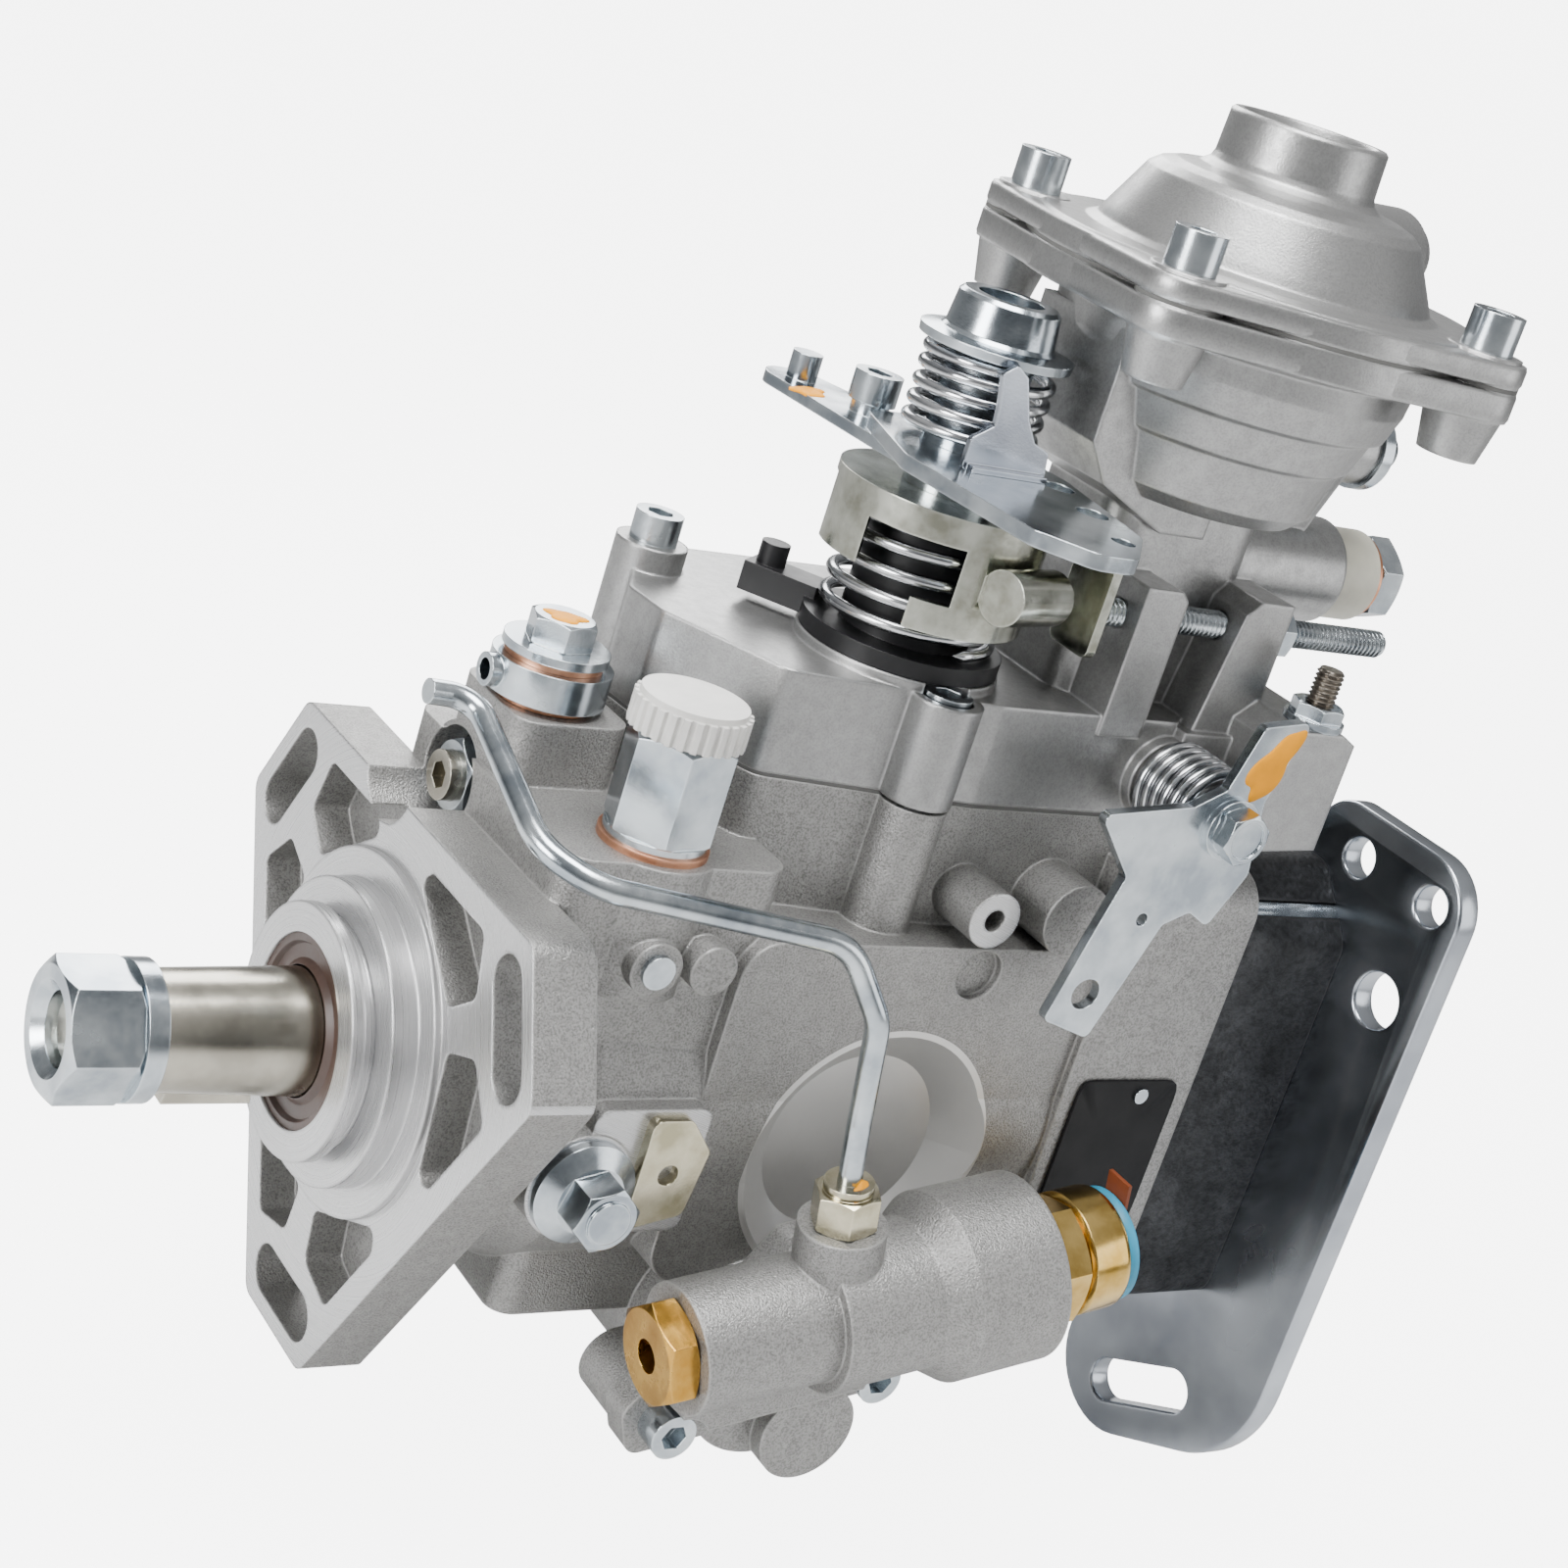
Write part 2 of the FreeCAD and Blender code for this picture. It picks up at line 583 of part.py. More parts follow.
# Drive shaft, with its taper, key, washer and nut.
claw_start = cavity_start + 16
claw_length = size("claw_length", 6, "claws of the shaft and of the cam plate")
claw_radius = size("claw_radius", 17, "claws and the cross disc between them")
claw_width = size("claw_width", 8, "claws of the shaft and of the cam plate")
nut_front = -shaft_reach
washer_front = nut_front + nut_length
taper_front = washer_front + washer_thick
thread_front = nut_front + 4
shaft_turned = turned((0, 0, 0), "x", [
    (thread_front, 0), (thread_front, thread_radius - 1), (thread_front + 1, thread_radius),
    (taper_front, thread_radius), (taper_front, taper_radius), (-nose_length, shaft_radius),
    (liner_front - 2, shaft_radius), (liner_front - 2, seat_radius),
    (claw_start - 6, seat_radius), (claw_start - 6, claw_radius), (claw_start, claw_radius),
    (claw_start, 0)])
key_drop = -14.6
key_disc = rod((-key_station, -key_width / 2, key_drop), "y", key_radius, key_width)
key_trim = block((-key_station - key_radius, -key_width / 2, -14.5),
                 (-key_station + key_radius, key_width / 2, 0))
keyway = rod((-key_station, -key_width / 2 - seat_gap, key_drop), "y",
             key_radius + seat_gap, key_width + 2 * seat_gap)


def claws(start, length, turn_angle):
    """Two driving claws that stand on a flange, on opposite sides of the shaft."""
    both = []
    for side in (0, 180):
        turn = Rotation(X, turn_angle + side)
        both.append(block((start, 9, -claw_width / 2), (start + length, claw_radius - 0.4,
                                                       claw_width / 2), (0, 0, 0), turn))
    return both


drive_shaft = keep("drive_shaft", carved(
    fused(shaft_turned, *claws(claw_start - 0.5, claw_length + 0.5, 0)), keyway))
shaft_key = keep("shaft_key", shared(key_disc, key_trim))
shaft_washer = keep("shaft_washer", pipe_ring((washer_front, 0, 0), "x", 13.6,
                                              thread_radius + free_gap, washer_thick))
shaft_nut = keep("shaft_nut", carved(
    shared(hexagon((nut_front, 0, 0), "x", nut_flats, nut_length, 30),
           turned((0, 0, 0), "x", [
               (nut_front, 0), (nut_front, 12), (nut_front + 1.4, 14.2),
               (washer_front - 1.4, 14.2), (washer_front, 12.6), (washer_front, 0)])),
    rod((nut_front - 1, 0, 0), "x", thread_radius + 0.1, nut_length + 2),
    taper((nut_front - 0.01, 0, 0), "x", 9.2, thread_radius, 2.2)))
shaft_seal = keep("shaft_seal", turned((0, 0, 0), "x", [
    (-nose_length + 0.6, seal_radius), (-nose_length + 0.6, seal_radius - 1.6),
    (-nose_length + 1.6, seal_radius - 2.2), (-nose_length + 1.6, shaft_radius + 1.6),
    (-nose_length + 0.4, shaft_radius + free_gap), (-nose_length + 4, shaft_radius + free_gap),
    (-nose_length + 5, shaft_radius + 2), (-nose_length + seal_depth, shaft_radius + 2),
    (-nose_length + seal_depth, seal_radius)]))
shaft_bush = keep("shaft_bush", pipe_ring((front_wall - bush_length, 0, 0), "x", bush_radius,
                                          shaft_radius + run_gap, bush_length + 4))

# Vane pump: cam ring, rotor with four vanes, and the plate that closes it.
cam_offset = size("cam_offset", 2, "eccentricity of the vane pump's cam ring")
rotor_radius = size("rotor_radius", 21.4, "vane pump's rotor")
liner_bore = rotor_radius + cam_offset + free_gap
vane_liner = keep("vane_liner", carved(
    rod((liner_front, 0, 0), "x", bore_radius - seat_gap, liner_length),
    rod((liner_front - 1, 0, cam_offset), "x", liner_bore, liner_length + 2)))
rotor_start = liner_front + seat_gap
rotor_length = liner_length - 2 * seat_gap
vane_slots = []
vanes = []
for number in range(4):
    turn = Rotation(X, 45 + 90 * number)
    vane_slots.append(block((liner_front - 1, 13, -1.1), (liner_front + liner_length + 1, 30, 1.1),
                            (0, 0, 0), turn))
    vanes.append(block((rotor_start, 14, -1), (rotor_start + rotor_length, rotor_radius - 0.1, 1),
                       (0, 0, 0), turn))
rotor_body = carved(
    rod((rotor_start, 0, 0), "x", rotor_radius, rotor_length),
    rod((liner_front - 1, 0, 0), "x", seat_radius + seat_gap, liner_length + 2), *vane_slots)
vane_rotor = keep("vane_rotor", grouped(rotor_body, *vanes))


# Governor drive: a gear on the shaft turns the flyweight cage faster, 36 teeth to 24.
def gear_outline(teeth, phase):
    """Straight-sided teeth, thinner than the gaps between them, so that the pair runs free."""
    pitch = module * teeth / 2
    root, tip = pitch - 1.15 * module, pitch + 0.85 * module
    corners = []
    for tooth in range(teeth):
        middle = math.radians(phase + 360 * tooth / teeth)
        step = math.radians(360 / teeth)
        for radius, share in ((root, -0.30), (tip, -0.12), (tip, 0.12), (root, 0.30)):
            angle = middle + share * step
            corners.append((radius * math.cos(angle), radius * math.sin(angle)))
    return corners


def gear(at, teeth, phase, thickness, bore):
    """A spur gear blank with its teeth, cut for its shaft."""
    points = [Vector(0, u, v) for u, v in gear_outline(teeth, phase)]
    points.append(points[0])
    made = doc.addObject("Part::Feature", next_name("gear"))
    face = Part.Face(Part.makePolygon(points))
    made.Shape = face.extrude(Vector(float(thickness), 0, 0))
    put(made, at, Rotation())
    return carved(made, rod((at[0] - 1, at[1], at[2]), "x", bore, thickness + 2))


gear_start = cavity_start + 3
gear_width = size("gear_width", 7, "governor drive gears")
line_of_centres = math.degrees(math.atan2(float(governor_z), float(governor_y)))
drive_gear = keep("governor_drive_gear", gear((gear_start, 0, 0), drive_teeth, line_of_centres,
                                              gear_width, seat_radius + seat_gap))
cage_phase = line_of_centres + 180 + 180 / governor_teeth
cage_start = gear_start + 0.3
cage_front = cage_start + gear_width - 0.6
cage_radius = size("cage_radius", 17.2, "flyweight cage")
cage_length = size("cage_length", 17, "flyweight cage")
cage_gear = gear((cage_start, governor_y, governor_z), governor_teeth, cage_phase,
                 gear_width - 0.6, governor_radius + run_gap)
cage_cup = carved(rod((cage_front - 0.5, governor_y, governor_z), "x", cage_radius, cage_length),
                  rod((cage_front + 1.5, governor_y, governor_z), "x", cage_radius - 1.6,
                      cage_length),
                  rod((cage_front - 2, governor_y, governor_z), "x", governor_radius + run_gap, 9),
                  block((cage_front + 4, governor_y - 30, governor_z - 4),
                        (cage_front + cage_length + 2, governor_y + 30, governor_z + 4)),
                  block((cage_front + 4, governor_y - 4, governor_z - 30),
                        (cage_front + cage_length + 2, governor_y + 4, governor_z + 30)))
weights = []
for number in range(4):
    turn = Rotation(X, 45 + 90 * number)
    weight = shared(
        block((cage_front + 1.8, 8.4, -5.4), (cage_front + cage_length - 2, 20, 5.4),
              (0, governor_y, governor_z), turn),
        rod((cage_front, governor_y, governor_z), "x", cage_radius - 1.9, cage_length))
    weights.append(weight)
flyweight_cage = keep("flyweight_cage", grouped(fused(cage_gear, cage_cup), *weights))
governor_end = size("governor_end", 87, "flange face to the rear end of the governor shaft")
stud_front = size("stud_front", 10, "flange face to the front end of the governor shaft")
governor_shaft = keep("governor_shaft", carved(
    rod((stud_front, governor_y, governor_z), "x", governor_radius, governor_end - stud_front),
    hexagon((stud_front - 1, governor_y, governor_z), "x", 5, 5)))
lock_nut_back = flange_thick + 11.5
governor_lock_nut = keep("governor_lock_nut", carved(
    fused(hex_head((lock_nut_back - 12, governor_y, governor_z), "x", 14, 10.5),
          taper((lock_nut_back - 3.5, governor_y, governor_z), "x", 7.6, 9.4, 1.5),
          rod((lock_nut_back - 2, governor_y, governor_z), "x", 9.4, 1)),
    rod((stud_front, governor_y, governor_z), "x", governor_radius + seat_gap, 20)))
sleeve_start = cage_front + cage_length - 5
sleeve_length = size("sleeve_length", 14, "governor's sliding sleeve")
governor_sleeve = keep("governor_sleeve", carved(
    fused(rod((sleeve_start, governor_y, governor_z), "x", 7.2, sleeve_length),
          rod((sleeve_start, governor_y, governor_z), "x", 8, 2)),
    rod((sleeve_start - 1, governor_y, governor_z), "x", governor_radius + run_gap,
        sleeve_length - 1)))

# Coupling, cam plate and plunger: they turn with the shaft.
disc_start = claw_start + 0.2
disc_slots = []
for number in range(4):
    disc_slots.append(block((disc_start - 1, 8.6, -claw_width / 2 - 0.2),
                            (disc_start + 20, 30, claw_width / 2 + 0.2), (0, 0, 0),
                            Rotation(X, 90 * number)))
cross_disc = keep("cross_disc", carved(
    rod((disc_start, 0, 0), "x", claw_radius, claw_length - 0.2),
    rod((disc_start - 1, 0, 0), "x", 4, 20), *disc_slots))
cam_face = claw_start + claw_length + 9
cam_radius = size("cam_radius", 30, "cam plate")
cam_thick = size("cam_thick", 6, "cam plate behind its lobes")
cam_lift = size("cam_lift", 2.5, "height of the cam plate's lobes")
lobes = []
for number in range(6):
    y, z = turn_round(number, 6, cam_radius - 5, 30)
    lobes.append(rod((cam_face, y, z), "x", 4.6, cam_lift + 0.5))
cam_plate = keep("cam_plate", fused(
    rod((cam_face + cam_lift, 0, 0), "x", cam_radius, cam_thick),
    rod((claw_start + claw_length + 0.4, 0, 0), "x", claw_radius - 0.5, 11), *lobes,
    *claws(claw_start + 0.3, claw_length + 0.4, 90)))
foot_start = cam_face + cam_lift + cam_thick
plunger_end = size("plunger_end", 172, "flange face to the end of the plunger")
plunger = keep("plunger", fused(
    rod((foot_start, 0, 0), "x", plunger_radius + 4, 3),
    rod((foot_start + 2, 0, 0), "x", plunger_radius, plunger_end - foot_start - 2)))
head_front = rear_face - 24

# Roller ring with its rollers, and the timer piston that turns it.
ring_start = claw_start - 2
ring_end = cam_face - 6
roller_radius = size("roller_radius", 5.6, "rollers under the cam plate")
roller_x = cam_face - roller_radius - free_gap
seats = []
rollers = []
for number in range(4):
    turn = Rotation(X, 45 + 90 * number)
    toward = turn.multVec(Y)
    low = toward * 21
    seats.append(rod((roller_x, low.y, low.z), toward, roller_radius + 0.2, 10.6))
    rollers.append(rod((roller_x, low.y * 1.01, low.z * 1.01), toward, roller_radius, 10))
ring_body = carved(
    fused(rod((ring_start, 0, 0), "x", bore_radius - 0.4, ring_end - ring_start),
          block((ring_end - 3, -5, -32.4), (timer_station + 3, 5, -30.5)),
          rod((timer_station, 0, -30.6), "-z", 4, timer_drop - 28.6)),
    rod((ring_start - 1, 0, 0), "x", claw_radius + 1.5, 40), *seats)
roller_ring = keep("roller_ring", grouped(ring_body, *rollers))
pin_swing = 9.8
piston_front = size("piston_front", 17, "timer pin to the cold end of the piston")
piston_back = size("piston_back", 17, "timer pin to the sprung end of the piston")
timer_piston = keep("timer_piston", carved(
    rod((timer_station, -piston_front, -timer_drop), "y", timer_radius,
        piston_front + piston_back),
    rod((timer_station, 0, -timer_drop - 5), "z", 5.3, 40),
    rod((timer_station, 0, -timer_drop), Vector(0, -math.sin(math.radians(pin_swing)),
                                                math.cos(math.radians(pin_swing))), 5.3, 30),
    rod((timer_station, 6, -timer_drop), "y", 9, 30)))

# Governor lever: it carries the sleeve's travel down to the control collar on the plunger.
collar_x = size("collar_x", 110, "flange face to the middle of the control collar")
collar_width = size("collar_width", 9, "control collar")
collar_round = size("collar_round", 11, "control collar outside")
lever_thick = size("lever_thick", 3, "governor lever")
contact_x = sleeve_start + sleeve_length + free_gap
control_collar = keep("control_collar", carved(
    rod((collar_x - collar_width / 2, 0, 0), "x", collar_round, collar_width),
    rod((collar_x - 20, 0, 0), "x", plunger_radius + run_gap, 40),
    block((collar_x - 2.9, -4, collar_round - 4.4), (collar_x + 2.9, 4, 20))))
lever_plane = foot_start + 0.8
governor_lever = keep("governor_lever", fused(
    block((lever_plane, governor_y - 6, lever_pivot_z - 2),
          (lever_plane + lever_thick, governor_y + 6, governor_z + 6)),
    rod((lever_plane + 1, governor_y, governor_z), "-x", 2, lever_plane + 1 - contact_x),
    rod((lever_pivot_x, -pivot_near, lever_pivot_z), "y", pivot_radius, pivot_near + pivot_far),
    block((lever_plane, -5, lever_pivot_z - 3),
          (collar_x + 2, governor_y + 6, lever_pivot_z + 3)),
    block((collar_x - 2, -3, collar_round - 1), (collar_x + 2, 3, lever_pivot_z + 3)),
    rod((collar_x, -3, collar_round - 0.6), "y", 2.4, 6)))

# Distributor head: dark cast block with the plunger's barrel, valve holders and plugs.
head_back = rear_face + head_length
head_block = plate((rear_face, 0, 0), "x", [
    (-rear_half + 0.5, -rear_low), (rear_half - 0.5, -rear_low), (rear_half - 0.5, rear_top - 14),
    (rear_half - 14, rear_top), (-rear_half + 14, rear_top), (-rear_half + 0.5, rear_top - 14)],
    head_length, rounding=6)
head_holes = [rod((head_front - 8, 0, 0), "x", plunger_radius + run_gap, head_length + 40)]
for number in range(6):
    y, z = turn_round(number, 6, port_circle, 30)
    head_holes.append(rod((head_back - 14, y, z), "x", port_thread + seat_gap, 20))
for y, z in bolt_places:
    head_holes.append(rod((rear_face - 1, y, z), "x", 4.4, head_length + 2))
stop_port_x = rear_face + head_length / 2
head_holes.append(rod((stop_port_x, 0, rear_top - 12), "z", 9 + seat_gap, 20))
hydraulic_head = keep("hydraulic_head", carved(
    fused(head_block, rod((head_front, 0, 0), "x", bore_radius - 0.1, rear_face - head_front + 1),
          rod((head_front - 6, 0, 0), "x", barrel_sleeve, 8)),
    *head_holes))
holder_flats = size("holder_flats", 17, "delivery valve holders across flats")
holder_length = size("holder_length", 26, "delivery valve holders outside the head")
holders = []
for number in range(6):
    y, z = turn_round(number, 6, port_circle, 30)
    holders.append(carved(
        fused(rod((head_back - 13, y, z), "x", port_thread, 14),
              hex_head((head_back, y, z), "x", holder_flats, 12, 30 + 60 * number),
              rod((head_back + 11, y, z), "x", port_thread, holder_length - 11)),
        rod((head_back - 14, y, z), "x", 3.4, 20),
        rod((head_back, y, z), "x", 1.2, 60),
        taper((head_back + holder_length - 3, y, z), "x", 1.2, 4.2, 3.01)))
delivery_valve_holders = keep("delivery_valve_holders", grouped(*holders))
centre_plug = fused(
    rod((head_back - 6, 0, 0), "x", plunger_radius, 7),
    hex_head((head_back, 0, 0), "x", 22, 6, 30),
    rod((head_back + 5.5, 0, 0), "x", 4, 5))
stop_port_plug = fused(
    rod((stop_port_x, 0, rear_top - 11), "z", 9, 12),
    rod((stop_port_x, 0, rear_top), "z", 12, 1.5),
    hex_head((stop_port_x, 0, rear_top + 1.4), "z", 19, 6))
side_ball = rod((33, -side_face - 1, 38), "-y", 3.4, 1.2)
bracket_thick = size("bracket_thick", 6, "rear bracket")


def socket_screw(at, along, thread, length, head_radius, head_height, socket):
    """A socket-head screw, placed at the face that its head sits on."""
    way = direction(along)
    start = [c - w * length for c, w in zip(at, (way.x, way.y, way.z))]
    top = [c + w * (head_height - 0.6 * head_height) for c, w in zip(at, (way.x, way.y, way.z))]
    return carved(fused(rod(start, along, thread, length + 0.5),
                        rod(at, along, head_radius, head_height)),
                  hexagon(top, along, socket, head_height))


head_screws = [
    socket_screw((head_back + (bracket_thick if y < 0 else 0), y, z), "x", 4,
                 head_length + screw_bite + (bracket_thick if y < 0 else 0), 6.5, 8, 6)
    for y, z in bolt_places]

# Rear bracket: a thick plate that steadies the pump; its slot follows the pump's turning.
bracket_plan = [(-8, -96), (-52, -96), (-77, -82), (-77, 62), (-60, 78), (-32, 78),
                (-20, 66), (-24, 44), (-41, 34), (-41, -22), (-27, -28), (-24, -46), (-8, -54)]
rear_bracket = keep("rear_bracket", carved(
    plate((head_back, 0, 0), "x", bracket_plan, bracket_thick,
          [(-38.9, 67, 4.4), (-62, 67, 4.4), (-58, 42, 6.2), (-bolt_y, bolt_high, 4.4),
           (-bolt_y, -bolt_low, 4.4)], rounding=5),
    rod((head_back - 1, -26, -79), "x", 5, bracket_thick + 2),
    rod((head_back - 1, -46, -68), "x", 5, bracket_thick + 2),
    block((head_back - 1, 0, -5), (head_back + bracket_thick + 1, 22.8, 5),
          (0, -26, -79), Rotation(X, math.degrees(math.atan2(11, -20))))))

# Governor cover: one casting with the throttle tower, the boost unit's bowl and the lugs.
gasket_thick = size("gasket_thick", 0.8, "gasket under the governor cover")
cover_base = joint_level + gasket_thick
cover_top = size("cover_top", 92, "shaft axis to the top face of the governor cover")
tower_top = size("tower_top", 121, "shaft axis to the top of the throttle tower")
bowl_neck = size("bowl_neck", 26, "boost unit's bowl at its narrow lower end")
bowl_floor = size("bowl_floor", 136, "shaft axis to the underside of the bowl")
bowl_radius = size("bowl_radius", 37, "boost unit's bowl under its flange")
boost_flange = size("boost_flange", 47, "flange of the boost unit, between its screws")
boost_screw = size("boost_screw", 48, "boost unit's axis to each of its screws")
boost_flange_thick = size("boost_flange_thick", 6, "flange of the boost unit")
stop_screw_y = size("stop_screw_y", -27, "shaft axis to the long stop screw, sideways")
stop_screw_z = size("stop_screw_z", 112, "shaft axis to the long stop screw, upwards")
return_y = size("return_y", -8, "shaft axis to the return union, sideways")
return_z = size("return_z", 121, "shaft axis to the return union, upwards")
clamp_x = size("clamp_x", 173, "flange face to the stop lever's set screw")
clamp_y = size("clamp_y", -44, "shaft axis to the stop lever's set screw, sideways")

cover_plan = chamber_plan
cover_shell = plate((0, 0, cover_base), "z", cover_plan, cover_top - cover_base, rounding=4)
cover_space = plate((0, 0, cover_base - 1), "z", inset(chamber_plan, wall + 1),
                    cover_top - wall - cover_base + 1, rounding=3)
screw_bosses = [rod((x, y, cover_base), "z", 7.5, cover_top - cover_base + rise)
                for (x, y), rise in zip(cover_screw_places, (5, 0, 0, 0))]
tower = fused(rod((lever_x, lever_y, cover_top - 1), "z", 21, 3),
              rod((lever_x, lever_y, cover_top - 8), "z", 10, tower_top - cover_top + 8))
bowl = turned((boost_x, boost_y, 0), "z", [
    (bowl_floor, 0), (bowl_floor, bowl_neck - 3), (bowl_floor + 3, bowl_neck),
    (bowl_floor + 13, bowl_neck + 2.5), (bowl_floor + 14, bowl_neck + 4),
    (bowl_floor + 21, bowl_neck + 6.5), (bowl_floor + 22, bowl_neck + 8.5),
    (bowl_floor + 28, bowl_radius - 0.5), (boost_level - boost_flange_thick - 2, bowl_radius),
    (boost_level - boost_flange_thick, boost_flange - 1), (boost_level, boost_flange - 1),
    (boost_level, 0)])
neck = plate((0, 0, cover_top - 1), "z", [
    (boost_x - 20, boost_y - 7.5), (boost_x + 20, boost_y - 7.5), (boost_x + 20, boost_y + 22),
    (boost_x - 20, boost_y + 22)], bowl_floor - cover_top + 4, rounding=7)
gusset = plate((0, boost_y + 18, 0), "-y", [
    (boost_x - 36, bowl_floor + 31), (boost_x - 36, bowl_floor + 9), (boost_x - 30, bowl_floor + 1),
    (boost_x - 12, bowl_floor - 7), (boost_x, bowl_floor - 7), (boost_x, bowl_floor + 31)], 29)


def around_boost(radius, angle):
    """A place round the boost unit's axis, in the plan."""
    turn = math.radians(angle)
    return boost_x + radius * math.cos(turn), boost_y + radius * math.sin(turn)


boost_angles = (48, 132, 212, 298)


def boost_outline(level, thick):
    """The joint flange: a round plate with a lobe at each of its four screws."""
    lobes = []
    for angle in boost_angles:
        x, y = around_boost(boost_screw, angle)
        lobes.append(rod((x, y, level), "z", 8.5, thick))
        for side in (-1, 1):
            lobes.append(block((boost_screw - 24, -4, 0), (boost_screw + 1, 4, thick),
                               (boost_x, boost_y, level), Rotation(Z, angle + side * 5.4)))
            lobes.append(block((boost_screw - 24, -5, 0), (boost_screw - 2.4, 5, thick),
                               (boost_x, boost_y, level), Rotation(Z, angle + side * 13)))
    return fused(rod((boost_x, boost_y, level), "z", boost_flange, thick), *lobes)


ribs = []
for angle, thick in ((-40, 5), (60, 5), (115, 5), (180, 6)):
    turn = Rotation(Z, angle)
    shift = turn.multVec(Y) * (thick / 2)
    ribs.append(plate((boost_x + shift.x, boost_y + shift.y, 0), turn * FACING["-y"], [
        (bowl_neck - 6, bowl_floor), (bowl_neck, bowl_floor), (bowl_radius - 3, bowl_floor + 27),
        (bowl_radius - 3, bowl_floor + 32), (bowl_neck - 6, bowl_floor + 32)], thick))
lug_near = stop_screw_y - 7
stop_lug_front = plate((0, -6, 0), "-y", [
    (lever_x + 37, cover_top - 4), (lever_x + 48, cover_top - 4), (lever_x + 48, stop_screw_z + 6),
    (lever_x + 46, stop_screw_z + 8), (lever_x + 37, stop_screw_z + 8)], -6 - lug_near)
stop_lug_rear = plate((0, stop_screw_y + 8, 0), "-y", [
    (stop_x + 4, cover_top - 4), (stop_x + 20, cover_top - 4), (stop_x + 20, stop_screw_z + 8),
    (stop_x + 11, stop_screw_z + 8), (stop_x + 8, stop_screw_z + 5)], 15)
lug_web = block((lever_x + 45, boost_y - 7.5, cover_top - 4),
                (stop_x + 20, boost_y + 4, stop_screw_z + 4))
stop_boss = fused(rod((stop_x, -24, stop_z), "-y", 9, 12), rod((stop_x, -24, stop_z), "-y", 7, 28))
clamp_lug = plate((0, -24, 0), "-y", [
    (clamp_x - 12, 74), (clamp_x - 8, 72), (clamp_x + 8, 73), (clamp_x + 8, 97),
    (clamp_x + 4, 99), (clamp_x - 7, 99), (clamp_x - 12, 95)], 26)
clamp_web = block((stop_x + 1, -36, 74), (clamp_x - 8, -24, cover_top - 1))
return_boss = rod((boost_x + 8, return_y, return_z), "x", 11.5, 42)
return_end = boost_x + 50
breather_boss = rod((boost_x + 20, boost_y + 4, 150), "x", 8, 27)
breather_end = boost_x + 47
throttle_bore = rod((lever_x, lever_y, 60), "z", throttle_radius + run_gap, 80)
stop_bore = fused(rod((stop_x, -10, stop_z), "-y", 4 + run_gap, 60),
                  rod((stop_x, -25, stop_z), "y", 6, 12))
pin_bore = rod((boost_x, boost_y, 60), "z", 5 + run_gap, 130)
bowl_space = fused(rod((boost_x, boost_y, bowl_floor + 9), "z", bowl_neck - 5, 50),
                   rod((boost_x, boost_y, bowl_floor + 23), "z", bowl_radius - 5, 30))
stop_screw_hole = rod((lever_x + 25, stop_screw_y, stop_screw_z), "x", 3 + seat_gap, 100)
return_hole = rod((boost_x + 20, return_y, return_z), "x", 5 + seat_gap, 40)
breather_hole = rod((boost_x + 30, boost_y + 4, 150), "x", 5 + seat_gap, 40)
clamp_hole = rod((clamp_x, clamp_y, 80), "z", 3 + seat_gap, 40)
screw_holes = [rod((x, y, 60), "z", 3.3, 40) for x, y in cover_screw_places]
screw_recesses = [rod((x, y, cover_top + rise), "z", 5.5, 20)
                  for (x, y), rise in zip(cover_screw_places[1:], (-5, -3, -3))]
boost_holes = []
for angle in boost_angles:
    x, y = around_boost(boost_screw, angle)
    boost_holes.append(rod((x, y, boost_level - 20), "z", 2.5 + seat_gap, 30))
boost_bosses = []
for angle in boost_angles:
    x, y = around_boost(boost_screw, angle)
    boost_bosses.append(taper((x, y, boost_level - 15), "z", 6, 8, 10))

governor_cover = keep("governor_cover", carved(
    fused(carved(cover_shell, cover_space), *screw_bosses, tower, bowl, neck, gusset, *ribs,
          *boost_bosses,
          boost_outline(boost_level - boost_flange_thick, boost_flange_thick),
          stop_lug_front, stop_lug_rear, lug_web, stop_boss, clamp_lug, clamp_web, return_boss,
          breather_boss),
    throttle_bore, stop_bore, pin_bore, bowl_space, stop_screw_hole, return_hole, breather_hole,
    clamp_hole, *screw_holes, *screw_recesses, *boost_holes))
gasket_holes = [rod((x, y, joint_level - 1), "z", 3.4, 4) for x, y in cover_screw_places]
cover_gasket = keep("cover_gasket", carved(
    plate((0, 0, joint_level), "z", cover_plan, gasket_thick, rounding=4),
    plate((0, 0, joint_level - 1), "z", inset(chamber_plan, wall + 1), gasket_thick + 2,
          rounding=3), *gasket_holes))
cover_screws = [
    socket_screw((x, y, cover_top + rise), "z", 3, 36, 5, 6, 5)
    for (x, y), rise in zip(cover_screw_places, (5, -5, -3, -3))]

# Fuel inlet: hex fitting on a copper washer, closed by a knurled transport cap.
washer_copper = size("washer_copper", 1.4, "copper sealing washers")
inlet_flats = size("inlet_flats", 19, "inlet fitting across flats")
inlet_top = inlet_level + washer_copper
inlet_fitting = keep("inlet_fitting", carved(
    fused(rod((inlet_x, inlet_y, inlet_level - 11), "z", 7, 14),
          rod((inlet_x, inlet_y, inlet_top), "z", 10.2, 1.6),
          hex_head((inlet_x, inlet_y, inlet_top + 1), "z", inlet_flats, 20, 10),
          rod((inlet_x, inlet_y, inlet_top + 20), "z", 7.4, 5)),
    rod((inlet_x, inlet_y, inlet_level - 12), "z", 4.5, 50)))
inlet_washer = pipe_ring((inlet_x, inlet_y, inlet_level), "z", 10.9, 7 + free_gap,
                         washer_copper)
cap_base = inlet_top + 21.2
cap_radius = size("cap_radius", 11.4, "knurled cap on the inlet")


